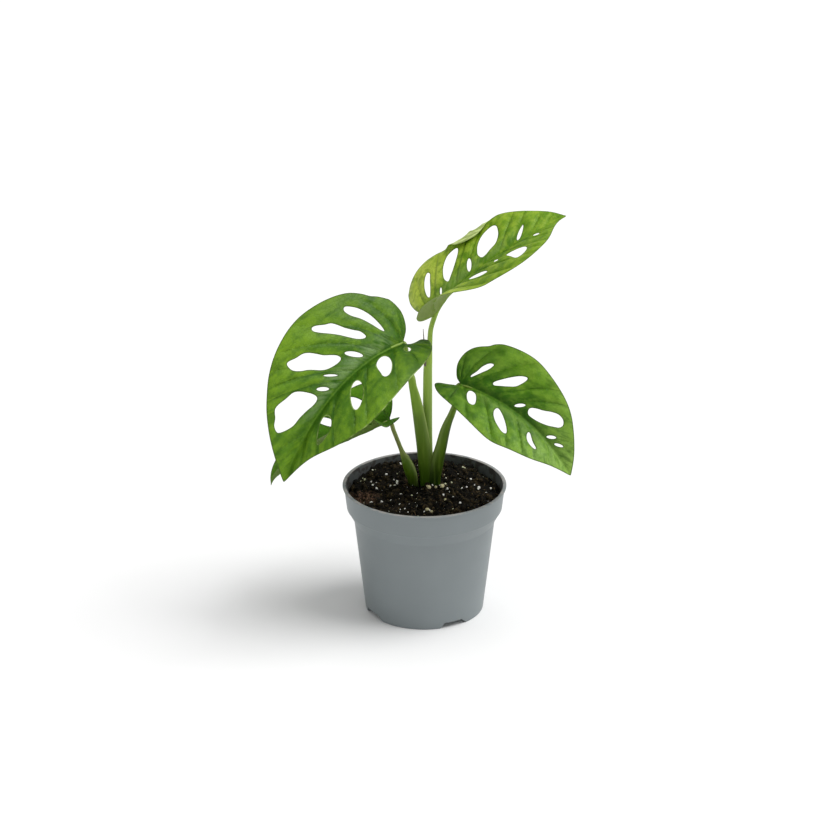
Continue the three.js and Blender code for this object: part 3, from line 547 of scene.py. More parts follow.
# Angles are in degrees. The edges run from the stalk to the tip as (s, v): s is measured along the
# midrib and v across it. A hole is a list of its corners, or for an oval (s, v, length, width, turn,
# taper, bend). A side vein is where it leaves the midrib, and its angle to it. Pitch and roll are
# given at the stalk and at the tip, and fold, curl and gather for the left and the right half.
# Swing is how far the heading turns on the way to the tip, and an ease above 1 keeps the change of
# pitch for the tip. Curl is for each 10 mm across. Gather is added to the fold at the stalk, and is
# gone by gather_length. A folded margin turns over along the line from its start to its end.
leaves = {
    "left": {
        "base": (-14.8, -8, 209.5), "length": 139, "heading": 215, "swing": 8,
        "pitch": (1, -62), "ease": 0.7, "roll": (-42, -38), "fold": (40, 18), "curl": (-6, -3.5),
        "gather": (0, 0), "gather_length": 40,
        "left_edge": [(0, 1), (-4, 3), (-8.5, 2.3), (-14.5, 0.6), (-18.2, 2.2), (-18.4, 7), (-12.5, 17),
                      (2, 29), (25, 37), (52, 41.5), (76, 40), (98, 30), (118, 13), (139, 0)],
        "right_edge": [(0, -1), (-5, -9), (-6.5, -17), (-5.6, -24), (-1.5, -31.5), (4, -37), (8.2, -39.8),
                       (12.5, -44.5), (19, -49.4), (30, -53), (44, -55), (54, -54.4), (64, -52),
                       (74, -48.4), (84, -43.4), (94, -37), (102, -31.6), (111, -24.6), (120, -17), (139, 0)],
        "holes": [[(10, -12.8), (12.4, -14.5), (16, -21), (20, -28), (23.8, -33.2), (25.6, -38), (25, -40.8),
                   (22.8, -41), (18, -36), (14, -28.6), (11.2, -20)],
                  [(23, -15.8), (25, -14.8), (29, -17), (33, -21.5), (37, -27), (41, -32), (45, -37),
                   (47.2, -41), (46.5, -43.5), (44, -43), (39.5, -39.4), (36, -37.2), (33.4, -33),
                   (31.2, -28.8), (28, -24.5), (24.5, -20.5)],
                  (37.2, -10, 13.5, 4, 47, 0, 0),
                  [(45.6, -14.2), (47, -12.8), (51, -12.7), (57, -14.5), (61, -17.5), (66, -24), (70, -28),
                   (72.5, -32), (72.9, -35.5), (71.8, -38.8), (69.5, -38.8), (65.5, -36.6), (61, -35),
                   (57.8, -32), (55, -27.5), (52.6, -23.6), (49, -20), (46.4, -17)],
                  (59, -10.2, 10.4, 1.9, 46, 0, 0), (69.5, -8, 9.2, 3.1, 49, 0, 0),
                  [(76, -9.5), (77.2, -6.6), (82, -6.2), (88, -7.8), (95, -9.4), (101, -10.3), (106, -13),
                   (109.8, -16.6), (110.2, -19), (107.5, -22.3), (103, -24.3), (100, -26.6), (97.5, -27.7),
                   (94, -27), (89, -25), (83.5, -23.3), (80.3, -20), (77.5, -14.5)],
                  [(20, 6), (19.7, 10.1), (22.2, 15.7), (26.7, 20.7), (30.6, 23.2), (33.9, 23.4),
                   (35.6, 21.2), (34.4, 16.8), (32.8, 11.8), (30.6, 7.9), (26.7, 5.1), (22.4, 4)],
                  (59.2, 17, 26.5, 9.8, 42, -0.1, 0.8), (94, 12.2, 23, 9.5, 17, -0.35, 1.5),
                  (3.1, 9.1, 6.4, 5.2, 53, 0, 0)],
        "left_veins": [(-1, 125), (2, 88), (10, 62), (33, 50), (43, 46), (64, 40), (80, 34), (104, 28)],
        "right_veins": [(-1, 100), (0, 82), (6.5, 57), (19, 50), (32, 47), (44, 45), (55, 44), (66, 42),
                        (100, 32), (112, 28)],
    },
    "top": {
        "base": (5.6, 12, 222.3), "length": 122, "heading": 10, "swing": 12,
        "pitch": (68, 18), "ease": 0.45, "roll": (4, 4), "fold": (22, 18), "curl": (-3, -3),
        "gather": (0, 33), "gather_length": 46,
        "folded_margin": {"start": (34, 30.6), "end": (86, 25.5), "bend": 7, "turn": 190, "ease": 9,
                          "meet": 12, "out": 6},
        "left_edge": [(0, 1), (-2, 8), (-5, 18), (-4, 29), (2, 37.5), (11, 42), (21, 42), (30, 39),
                      (36, 36), (40.5, 35.4), (45, 37), (50, 38.8), (56, 39.4), (62, 38.4), (68, 35.6),
                      (73, 32.4), (78, 31.2), (84, 31.6), (94, 26), (107, 16), (115, 9), (122, 0)],
        "right_edge": [(0, -1), (-2, -7), (-3.2, -14), (-2, -20.5), (2, -25.5), (8, -28.6), (17, -31.5),
                       (29, -37.5), (46, -42), (61, -45), (73, -44.5), (85, -39.5), (97, -30),
                       (108, -12.5), (115, -3.8), (122, 0)],
        "holes": [[(7.3, 13.8), (7.5, 17.2), (9.4, 22.7), (12.8, 28), (16.5, 31.2), (18.6, 31), (19, 28.2),
                   (16.1, 23.6), (13.3, 18.8), (10, 14.3), (8.4, 13)],
                  (17, 8, 6.4, 2, 55, 0, 0),
                  [(24.5, 10.6), (24.3, 14.3), (25.8, 18.2), (28.4, 22.5), (31.8, 26), (36, 28.8),
                   (40.6, 29.6), (44.6, 29), (45.2, 27), (42.9, 23.4), (39.2, 19.6), (33.9, 14.9),
                   (29.4, 11.5), (26, 9.3)],
                  (44.3, 7.8, 11.6, 3.9, 60, 0, 0),
                  [(53.4, 9.9), (54.5, 13.2), (57.2, 17.5), (61.1, 21.2), (66.1, 24), (71.5, 25.4),
                   (75, 25.3), (76.7, 23.6), (76.3, 20.4), (74.4, 15.8), (71.5, 12), (68.1, 9.3),
                   (62.8, 7.6), (57.8, 5.9), (54.5, 6.2)],
                  (60.7, -12.5, 4.8, 3, 62, 0, 0),
                  (44.7, -16, 18.2, 6.4, 47, 0, 0), (87.5, 6, 14.2, 3, 44, -0.25, 0),
                  (94.7, -8.6, 6.2, 4, 64, 0, 0), (74, -23, 19, 12.2, 71, 0.3, -3.5)],
        "left_veins": [(-1, 105), (0, 84), (6, 62), (13, 55), (26, 50), (36, 48), (45, 48), (66, 48),
                       (76, 44), (92, 38), (104, 34)],
        "right_veins": [(0, 96), (4, 72), (14, 58), (24, 52), (40, 48), (52, 47), (64, 47), (78, 45),
                        (90, 40), (102, 34)],
    },
    "right": {
        "base": (25.2, -4, 176.1), "length": 108, "heading": -26, "swing": -14,
        "pitch": (-5, -51), "ease": 1, "roll": (42, 42), "fold": (16, 34), "curl": (-4, -6),
        "gather": (0, 0), "gather_length": 40,
        "left_edge": [(0, 1), (-4, 5), (-6.5, 14), (-4, 23), (2, 29.3), (9, 33), (12.4, 36), (18, 38.4),
                      (30, 39.5), (40, 38.7), (52, 35), (66, 30), (75, 25.6), (84, 19.5), (98, 9), (108, 0)],
        "right_edge": [(0, -1), (-8, -3), (-15, -4.5), (-16, -8), (-10, -15), (2, -22), (20, -29),
                       (38, -33.5), (52, -34), (66, -29), (82, -21), (96, -9.5), (108, 0)],
        "holes": [[(5.9, 7.2), (5.8, 8.9), (8.4, 12.7), (10.7, 17.5), (13.9, 21.2), (16.7, 22), (17.3, 20.7),
                   (15.5, 16.9), (12.1, 13), (8.3, 9.1)],
                  [(22.3, 8.8), (22.9, 10.9), (27.2, 15.3), (31.7, 19.7), (36.1, 23.4), (39.9, 24.9),
                   (40.7, 22.9), (39.3, 18.7), (37, 14.9), (32.8, 12.1), (28.3, 9.9), (24, 8.1)],
                  (46.8, 5.5, 8.2, 2.8, 40, 0, 0),
                  [(53.4, 6.5), (53.9, 9), (57.2, 11.3), (61.7, 13.6), (66.1, 16.8), (70.6, 19),
                   (74.9, 18.7), (77.6, 15.9), (77, 12.8), (74.3, 10.4), (70.6, 7.7), (65.6, 5.4),
                   (60.6, 4.1), (55.6, 3.9)],
                  (78.2, 4.2, 7.3, 2.7, 44, 0, 0), (85.8, 4.7, 7, 2.4, 36, 0, 0),
                  [(9.5, -3.2), (11.6, -2.6), (15, -4.2), (17.8, -8), (20, -12.4), (20.3, -15), (18.8, -16.2),
                   (15.6, -15.6), (12.7, -12.9), (10, -8.6), (9.1, -5.4)],
                  [(35.1, -7.6), (36.7, -6.8), (40.6, -8.7), (46.1, -12.4), (51.7, -16.8), (55, -20.2),
                   (54.7, -22), (51.5, -22.4), (47.1, -21.1), (41.7, -18.5), (37.3, -14.7), (35.1, -10.8)],
                  [(64.8, -7), (66.2, -6.2), (69.5, -8), (72.9, -9.9), (77.7, -11.2), (78.8, -12.4),
                   (77.1, -13.5), (73.3, -13.8), (69.5, -12.9), (66.3, -10.3)]],
        "left_veins": [(0, 100), (0, 76), (7, 55), (25, 46), (36, 42), (48, 38), (72, 38), (82, 36),
                       (92, 32)],
        "right_veins": [(-1, 140), (0, 92), (3, 62), (18, 50), (30, 45), (46, 42), (58, 38), (80, 34),
                        (92, 30)],
    },
    "back": {
        "base": (-25.3, 14, 141.4), "length": 105, "heading": 176, "swing": 0,
        "pitch": (-27.5, -80), "ease": 10, "roll": (-6, -6), "fold": (52, 44), "curl": (-4, -3),
        "gather": (-46, 0), "gather_length": 9,
        "left_edge": [(0, 1), (-5, 2.5), (-8.5, 5), (-6, 9), (0, 12.5), (8, 19), (20, 25),
                      (32, 26.5), (46, 24), (66, 17.5), (86, 9), (105, 0)],
        "right_edge": [(0, -1), (-4, -7), (-6.5, -15), (-5, -24.5), (3, -32.5), (14, -36.5),
                       (28, -35.5), (44, -31), (62, -24.5), (80, -16.5), (93, -9), (105, 0)],
        "holes": [(20, -22.3, 21, 8.5, 50, 0, 0), (45.5, -19.2, 20, 6, 40, 0, 0),
                  (69, -13.5, 14, 5, 34, 0, 0), (16, 12, 15, 4.5, 56, 0, 0),
                  (36, 13, 19, 6, 48, 0, 0), (60, 11, 14, 5, 38, 0, 0)],
        "left_veins": [(-1, 120), (0, 80), (14, 55), (34, 46), (54, 40), (74, 34), (88, 30)],
        "right_veins": [(-1, 110), (0, 78), (10, 58), (28, 48), (48, 40), (66, 34), (84, 30)],
    },
}


def smoothstep(low, high, value):
    t = np.clip((value - low) / (high - low), 0, 1)
    return t * t * (3 - 2 * t)


def towards(leaf, s):
    """Which way is ahead, level across and up for places along the midrib."""
    along = np.clip(s / leaf["length"], 0, 1)
    pitch = np.radians(leaf["pitch"][0] + (leaf["pitch"][1] - leaf["pitch"][0]) * along ** leaf["ease"])
    heading = np.radians(leaf["heading"] + leaf["swing"] * along)
    roll = np.radians(leaf["roll"][0] + (leaf["roll"][1] - leaf["roll"][0]) * along)[..., None]
    ahead = np.stack([np.cos(heading) * np.cos(pitch), np.sin(heading) * np.cos(pitch), np.sin(pitch)], -1)
    level = np.stack([-np.sin(heading), np.cos(heading), 0 * heading], -1)
    up = np.cross(ahead, level)
    return ahead, level * np.cos(roll) + up * np.sin(roll), up * np.cos(roll) - level * np.sin(roll)


def on_midrib(leaf, s):
    steps = np.arange(leaf["length"] + 1)
    walk = np.cumsum(towards(leaf, steps[:-1] + 0.5)[0], axis=0)
    line = np.vstack([np.zeros(3), walk]) + np.array(leaf["base"])
    place = np.stack([np.interp(s, steps, line[:, axis]) for axis in range(3)], -1)
    return place + np.minimum(s, 0)[..., None] * towards(leaf, np.zeros(1))[0]


def cross_section(width, angle, arcs):
    """How far out and up a point lies that is width along a row of arcs of (length, bend)."""
    out, rise, start, left = 0, 0, angle, width
    for length, bend in arcs:
        part = np.minimum(left, length)
        turned = bend * part
        chord = part * np.sinc(turned / (2 * np.pi))
        out = out + chord * np.cos(start + turned / 2)
        rise = rise + chord * np.sin(start + turned / 2)
        start, left = start + turned, left - part
    return out, rise


def fold_line(leaf, s):
    """How far from the midrib the left margin is folded, and how much of the fold there is."""
    margin = leaf.get("folded_margin")
    if not margin:
        return np.full_like(s, np.inf), np.zeros_like(s)
    (from_s, from_v), (to_s, to_v) = margin["start"], margin["end"]
    meet, ease = margin["meet"], margin["ease"]
    line = from_v + (s - from_s) * (to_v - from_v) / (to_s - from_s)
    line = line + margin["out"] * (1 - smoothstep(0, meet, s - from_s) + smoothstep(-meet, 0, s - to_s))
    return line, smoothstep(from_s, from_s + ease, s) * (1 - smoothstep(to_s - ease, to_s, s))


def bent(leaf, s, v):
    """The place in space of a point of the flat drawing."""
    _, level, up = towards(leaf, s)
    half = (v < 0).astype(int)
    gather = np.array(leaf["gather"])[half] * (1 - smoothstep(0, leaf["gather_length"], s))
    fold = np.radians(np.array(leaf["fold"])[half] + gather)
    curl = np.radians(np.array(leaf["curl"])[half]) / 10
    line, amount = fold_line(leaf, s)
    margin = leaf.get("folded_margin", {"bend": 1, "turn": 0})
    folded = (amount > 0) & (half == 0)
    first = np.where(folded, line, 1e6) - blade["fold_rounding"]
    turn = np.where(folded, amount * np.radians(margin["turn"]) / margin["bend"], 0)
    arcs = [(blade["fold_rounding"], fold / blade["fold_rounding"]), (first, curl),
            (margin["bend"], turn), (np.inf, 0)]
    out, rise = cross_section(np.abs(v), 0 * fold, arcs)
    side = np.where(v < 0, -1, 1)[..., None]
    return on_midrib(leaf, s) + side * level * out[..., None] + up * rise[..., None]


def outward(leaf, s, v):
    """The normal of the upper side at points of the flat drawing."""
    step = 0.2
    along = bent(leaf, s + step, v) - bent(leaf, s - step, v)
    across = bent(leaf, s, v + step) - bent(leaf, s, v - step)
    normal = np.cross(along, across)
    return normal / np.linalg.norm(normal, axis=-1, keepdims=True)


def curve_between(a, b, c, d, t):
    """The place a share t of the way from b to c, on a smooth curve that comes from a and goes to d."""
    return 0.5 * (2 * b + (c - a) * t + (2 * a - 5 * b + 4 * c - d) * t ** 2
                  + (3 * b - a - 3 * c + d) * t ** 3)


def smooth_curve(corners, step):
    """Evenly spaced points on a smooth curve through all corners but the first and the last."""
    t = np.linspace(0, 1, 16, endpoint=False)[:, None]
    spans = [curve_between(*four, t) for four in zip(corners, corners[1:], corners[2:], corners[3:])]
    curve = np.vstack([*spans, corners[-2]])
    length = np.concatenate([[0], np.cumsum(np.linalg.norm(np.diff(curve, axis=0), axis=1))])
    even = np.linspace(0, length[-1], max(2, round(length[-1] / step)) + 1)
    return np.stack([np.interp(even, length, curve[:, axis]) for axis in (0, 1)], -1)


def smooth_line(corners, step):
    corners = np.array(corners, float)
    before, after = 2 * corners[0] - corners[1], 2 * corners[-1] - corners[-2]
    return smooth_curve(np.vstack([before, corners, after]), step)


def smooth_loop(corners, step):
    return smooth_curve(np.array([corners[-1], *corners, *corners[:2]], float), step)[:-1]


def leaf_outline(leaf):
    left = smooth_line(leaf["left_edge"], blade["edge_step"])
    right = smooth_line(leaf["right_edge"], blade["edge_step"])[::-1]
    return np.vstack([left, right[1:]])


def hole_outline(hole):
    if isinstance(hole, list):
        return smooth_loop(hole, blade["edge_step"])
    s, v, length, width, turn, taper, bend = hole
    count = max(14, round(math.pi * (length + width) / 2 / blade["edge_step"]))
    angle = np.linspace(0, 2 * np.pi, count, endpoint=False)
    along = length / 2 * np.cos(angle)
    across = width / 2 * np.sin(angle) * (1 + taper * np.cos(angle)) + bend * (0.5 - np.cos(angle) ** 2)
    cos, sin = math.cos(math.radians(turn)), math.sin(math.radians(turn))
    return np.stack([s + along * cos - across * sin, v + np.sign(v) * (along * sin + across * cos)], -1)


def inside_of(outline, points):
    """Which points lie inside a closed outline."""
    found = np.zeros(len(points), bool)
    x, y = points.T
    for (ax, ay), (bx, by) in zip(outline, np.roll(outline, 1, axis=0)):
        if ay != by:
            found ^= ((ay > y) != (by > y)) & (x < (bx - ax) * (y - ay) / (by - ay) + ax)
    return found


def distances(points, others):
    """How far each point is from the nearest of the others."""
    tree = kdtree.KDTree(len(others))
    for index, (x, y) in enumerate(others):
        tree.insert((x, y, 0), index)
    tree.balance()
    return np.array([tree.find((x, y, 0))[2] for x, y in points])


def vein_line(start, angle, w):
    """How far along the leaf a side vein is where it is w away from the midrib."""
    arch = 0.0045 if angle < 90 else 0.001
    return start + w / math.tan(math.radians(angle)) + arch * w ** 2


def side_veins(leaf):
    """Points along the side veins, which arch towards the tip."""
    w = np.arange(0, 62, 0.9)
    paths = [np.stack([vein_line(*vein, w), side * w], -1)
             for side, key in ((1, "left_veins"), (-1, "right_veins")) for vein in leaf[key]]
    return np.vstack(paths)


def vein_lanes(leaf, s, v):
    """The number of the side vein at each point, with fractions in the lanes between them."""
    lanes = np.zeros(len(s))
    for half, key in ((v >= 0, "left_veins"), (v < 0, "right_veins")):
        lines = [vein_line(*vein, np.abs(v[half])) for vein in leaf[key]]
        for number, (line, after) in enumerate(zip(lines, lines[1:])):
            share = (s[half] - line) / (after - line)
            lanes[half] = np.where((share > 0) | (number == 0), number + share, lanes[half])
    return lanes


def flat_leaf(leaf):
    """Points and triangles of the flat drawing, with a net that follows edges and veins."""
    outline = leaf_outline(leaf)[:-1]
    holes = [hole_outline(hole) for hole in leaf["holes"]]
    loops = [outline, *holes]
    fixed = np.vstack(loops)
    edges, start = [], 0
    for loop in loops:
        edges += [(start + k, start + (k + 1) % len(loop)) for k in range(len(loop))]
        start += len(loop)

    def on_leaf(points):
        clear = inside_of(outline, points)
        for hole in holes:
            clear &= ~inside_of(hole, points)
        return clear

    net = blade["net"]
    along = np.arange(0.8, leaf["length"] - 0.6, 1.0)
    groups = [(np.stack([along, 0 * along + v], -1), 0.45) for v in (0, 0.6, -0.6, 1.5, -1.5)]
    if "folded_margin" in leaf:
        margin = leaf["folded_margin"]
        s = np.arange(margin["start"][0], margin["end"][0], 0.9)
        groups += [(np.stack([s, fold_line(leaf, s)[0] + out], -1), 0.4)
                   for out in np.arange(0, margin["bend"] + 0.1, 0.7)]
    groups.append((side_veins(leaf), 0.55))
    line = np.arange(-26, leaf["length"], net)
    grid = [np.stack([line + (row % 2) * net / 2, np.full(len(line), row * net * math.sqrt(0.75))], -1)
            for row in np.arange(-60, 61)]
    groups.append((np.vstack(grid), net * 0.55))
    for group, clearance in groups:
        group = group[on_leaf(group)]
        group = group[distances(group, fixed) > clearance]
        fixed = np.vstack([fixed, group])
    made = geometry.delaunay_2d_cdt([Vector(p) for p in fixed], edges, [], 0, 1e-5)
    points = np.array([tuple(p) for p in made[0]])
    triangles = np.array(made[2])
    triangles = triangles[on_leaf(points[triangles].mean(axis=1))]
    used = np.unique(triangles)
    renumber = np.full(len(points), -1)
    renumber[used] = np.arange(len(used))
    return points[used], renumber[triangles], fixed[:start]


def keep(mesh, name, values):
    """Stores a number for each point of a mesh."""
    mesh.attributes.new(name, "FLOAT", "POINT").data.foreach_set("value", np.asarray(values, np.float32))


def blade_piece(name, leaf):
    points, triangles, edge_points = flat_leaf(leaf)
    s, v = points.T
    to_edge = distances(points, edge_points)
    to_vein = distances(points, side_veins(leaf))
    along = np.clip(s / leaf["length"], 0, 1)
    rib = np.clip(1 - (np.abs(v) / blade["rib_half_width"]) ** 2, 0, 1) ** 1.5
    rib = rib * smoothstep(-3, 1, s) * (1 - blade["rib_taper"] * along)
    lanes = vein_lanes(leaf, s, v)
    pad = np.sqrt(np.abs(np.sin(np.pi * lanes))) * (1 - np.exp(-(v / 4) ** 2))
    waves = np.array([noise.noise(Vector((a / 13, b / 13, len(name)))) for a, b in points])
    quilt = (blade["quilt"] * (pad - 0.4) + blade["waves"] * waves) * smoothstep(0, 6, to_edge)
    groove = blade["rib_groove"] * np.exp(-(v / 0.9) ** 2) * smoothstep(0, 4, s)
    groove = groove + blade["vein_groove"] * np.exp(-(to_vein / 0.6) ** 2) * smoothstep(0, 2, to_edge)
    normal = outward(leaf, s, v)
    middle = bent(leaf, s, v) + normal * quilt[:, None]
    half = (blade["edge"] + (blade["thickness"] - blade["edge"]) * smoothstep(0, 1.6, to_edge)) / 2
    raised = blade["vein_ridge"] * np.exp(-(to_vein / 0.7) ** 2) * smoothstep(0, 2, to_edge)
    upper = middle + normal * (half - groove)[:, None]
    lower = middle - normal * (half + raised + blade["rib_height"] * rib)[:, None]
    count = len(points)
    faces = [tuple(t) for t in triangles] + [(count + a, count + c, count + b) for a, b, c in triangles]
    directed = {(a, b) for t in triangles.tolist() for a, b in zip(t, t[1:] + t[:1])}
    rim = [(a, b) for a, b in directed if (b, a) not in directed]
    rim.sort()
    ahead = dict(rim)
    behind = {b: a for a, b in rim}
    ring = {}
    lip = []
    for a in ahead:
        run = points[ahead[a]] - points[behind[a]]
        run = run / max(np.linalg.norm(run), 1e-9)
        out_s, out_v = points[a] + np.array([run[1], -run[0]]) * 0.2
        beyond = bent(leaf, np.array([out_s]), np.array([out_v]))[0] - bent(leaf, s[a:a + 1], v[a:a + 1])[0]
        ring[a] = 2 * count + len(lip)
        lip.append(middle[a] + beyond)
    for a, b in rim:
        faces += [(a, ring[a], ring[b], b), (ring[a], count + a, count + b, ring[b])]
    everything = np.vstack([upper, lower, np.array(lip)])
    order = np.concatenate([np.arange(count), np.arange(count), list(ring)]).astype(int)
    piece = make_piece(name, everything, faces, sharp=60)
    beyond_fold = np.zeros(count)
    if "folded_margin" in leaf:
        line, amount = fold_line(leaf, s)
        beyond_fold = amount * smoothstep(0, 4, v - line)
    under = np.concatenate([np.zeros(count), np.ones(count), np.full(len(lip), 0.5)])
    for key, values in (("across", v), ("along", along * 100), ("vein", to_vein), ("edge", to_edge),
                        ("rolled", beyond_fold)):
        keep(piece.data, key, values[order])
    keep(piece.data, "under", under)
    for key, columns in (("flat", (s, v, 0 * s)), ("lanes", (lanes, np.abs(v), np.sign(v)))):
        vectors = piece.data.attributes.new(key, "FLOAT_VECTOR", "POINT")
        vectors.data.foreach_set("vector", np.column_stack(columns)[order].astype(np.float32).ravel())
    return piece


def leaf_finish(name, sky_side, tone):
    """Green leaf skin: deep by the midrib, bright towards the margin and streaked along the side veins, with
    painted shade and painted highlights on the pads between them. The half on sky_side of the midrib has a
    painted greyish sheen there, a reflection of the sky, and the other half has painted shade beside the
    midrib."""
    finish = Finish(name)
    deep, body, bright, dark = tone["deep"], tone["body"], tone["bright"], tone["dark"]
    flat = finish.node("ShaderNodeAttribute", {"attribute_name": "flat"}, output="Vector")
    lanes = finish.node("ShaderNodeAttribute", {"attribute_name": "lanes"}, output="Vector")
    lane = finish.node("ShaderNodeSeparateXYZ", sockets={0: lanes}, output="X")
    across = finish.measure("across") * sky_side
    away = finish.node("ShaderNodeMath", {"operation": "ABSOLUTE"}, {0: across})
    along = finish.measure("along")
    vein = finish.measure("vein")
    edge = finish.measure("edge")
    under = finish.measure("under")
    mottle = finish.cloud(12, 3, flat)
    patch = finish.cloud(0.5, 4, finish.stretch(1, 0.075, 1, lanes))
    streak = finish.cloud(0.3, 3, finish.stretch(1, 0.03, 1, lanes))
    hair = finish.cloud(0.09, 2, finish.stretch(1, 0.012, 1, lanes))
    outer = finish.ramp(away + mottle * 26 + streak * 10 - 18, 3, 24)
    colour = finish.mix(outer, deep, body)
    light = finish.ramp(away, 12, 44) * 0.5 + finish.ramp(edge, 9, 1) * 0.12
    # Painted shade: far_shade darkens the half turned away from the sky.
    light = light + mottle * 0.5 + streak * 0.35 - finish.ramp(across, 0, -10) * tone["far_shade"]
    colour = finish.mix(finish.ramp(light, 0.5, 1.2), colour, bright)
    colour = finish.mix(finish.ramp(along + mottle * 30, 60, 115) * 0.7, colour, tone["tip"])
    foot = finish.ramp(along, tone["lobe_end"], tone["lobe_end"] * 0.3)
    foot = foot * finish.ramp(away + mottle * 10, 10, 28)
    colour = finish.mix(foot * 0.85, colour, tone["lobe"])
    spots = finish.cloud(6, 2, flat)
    colour = finish.mix(finish.ramp(spots, 0.5, 0.66) * tone["spots"], colour, bright)
    colour = finish.mix(finish.ramp(spots, 0.5, 0.34) * tone["spots"], colour, deep)
    # Each lane between two side veins is a soft pad, with painted shade along one side and a painted
    # highlight on its crest.
    behind = finish.node("ShaderNodeMath", {"operation": "FRACT"}, {0: lane + streak * 0.2 - 0.1})
    painted_pad_shade = finish.ramp(behind, 0.34, 0.02) * finish.ramp(away, 50, 20) * finish.ramp(away, 0.5, 5)
    painted_pad_shade = painted_pad_shade * (0.45 + finish.ramp(mottle, 0.35, 0.6) * 0.55) * finish.ramp(along, 98, 70)
    colour = finish.mix(painted_pad_shade * (0.4 + patch) * tone["bands"], colour, dark)
    painted_crest_highlight = finish.ramp(behind, 0.4, 0.75) * finish.ramp(behind, 1.0, 0.85) * finish.ramp(patch, 0.35, 0.65)
    colour = finish.mix(painted_crest_highlight * 0.35, colour, bright)
    colour = finish.mix(finish.ramp(patch, 0.52, 0.68) * 0.3, colour, bright)
    colour = finish.mix(finish.ramp(patch, 0.48, 0.32) * 0.45, colour, dark)
    colour = finish.mix(finish.ramp(hair, 0.58, 0.72) * finish.ramp(away, 26, 6) * 0.45, colour, dark)
    # Painted shadow: the half away from sky_side is darker just beside the midrib.
    painted_midrib_shadow = finish.ramp(across, 0.2, -0.9) * finish.ramp(across, -6, -1.5) * finish.ramp(along, 96, 60)
    colour = finish.mix(painted_midrib_shadow * 0.6, colour, dark)
    # Painted sheen: a greyish reflection of the sky on the sky_side half, near the midrib.
    grey = finish.ramp(across, 0.6, 3) * finish.ramp(across, 15, 5) * finish.ramp(along, 2, 10)
    grey = grey * finish.ramp(along, 80, 50) * finish.ramp(streak * 0.6 + hair * 0.4, 0.34, 0.58)
    colour = finish.mix(grey * 0.65, colour, tone["sheen"])
    cells = finish.node("ShaderNodeTexVoronoi", {"feature": "DISTANCE_TO_EDGE"},
                        {"Vector": flat, "Scale": 0.42})
    net = finish.ramp(cells, 0.09, 0.0)
    colour = finish.mix(net * 0.12, colour, deep)
    rib = tone["rib"]
    line = finish.ramp(vein, 0.5, 0.15) * finish.ramp(away, 30, 4) * finish.ramp(mottle, 0.35, 0.6)
    colour = finish.mix(line * 0.3, colour, rib)
    midrib = finish.ramp(away, 0.8, 0.3) * (0.35 + finish.ramp(along, 26, 8) * 0.55)
    colour = finish.mix(midrib * finish.ramp(along, 99, 80), colour, rib)
    # Painted highlight: towards the stalk, the edge on the half away from sky_side is paler where it catches
    # the light.
    lit_rim = finish.ramp(across, -1, -2) * finish.ramp(along, 80, 60) * finish.ramp(mottle, 0.42, 0.56)
    rim = finish.mix(lit_rim, tone["rim"], tone["lit_rim_colour"])
    colour = finish.mix(finish.ramp(edge, 0.75, 0.15) * 0.75, colour, rim)
    # The underside is duller and paler, with light veins.
    ribbed = finish.ramp(vein, 0.9, 0.2) * 0.5 + finish.ramp(away, 2.0, 1.2) * 0.5
    dull = finish.mix(ribbed, tone["below"], rib)
    dull = finish.mix(net * 0.25, dull, rib)
    lines = finish.cloud(1.4, 1, finish.stretch(0.14, 1, 1, flat))
    dull = finish.mix(finish.measure("rolled") * (0.4 + finish.ramp(lines, 0.4, 0.6) * 0.6), dull,
                      srgb(214, 232, 150))
    colour = finish.mix(finish.ramp(under, 0.45, 0.55), colour, dull)
    relief = finish.cloud(0.6, 2, flat) * 0.2 + net * -0.3 + hair * 0.35 + streak * 0.8
    normal = finish.bump(relief, 0.3)
    roughness = 0.36 + patch * 0.14 + under * 0.12
    skin = finish.surface(base_color=colour, roughness=roughness, normal=normal, specular=0.2)
    glow = finish.node("ShaderNodeBsdfTranslucent", sockets={"Color": bright})
    shader = finish.node("ShaderNodeMixShader", sockets={0: 0.14, 1: skin, 2: glow})
    return finish.done(shader)


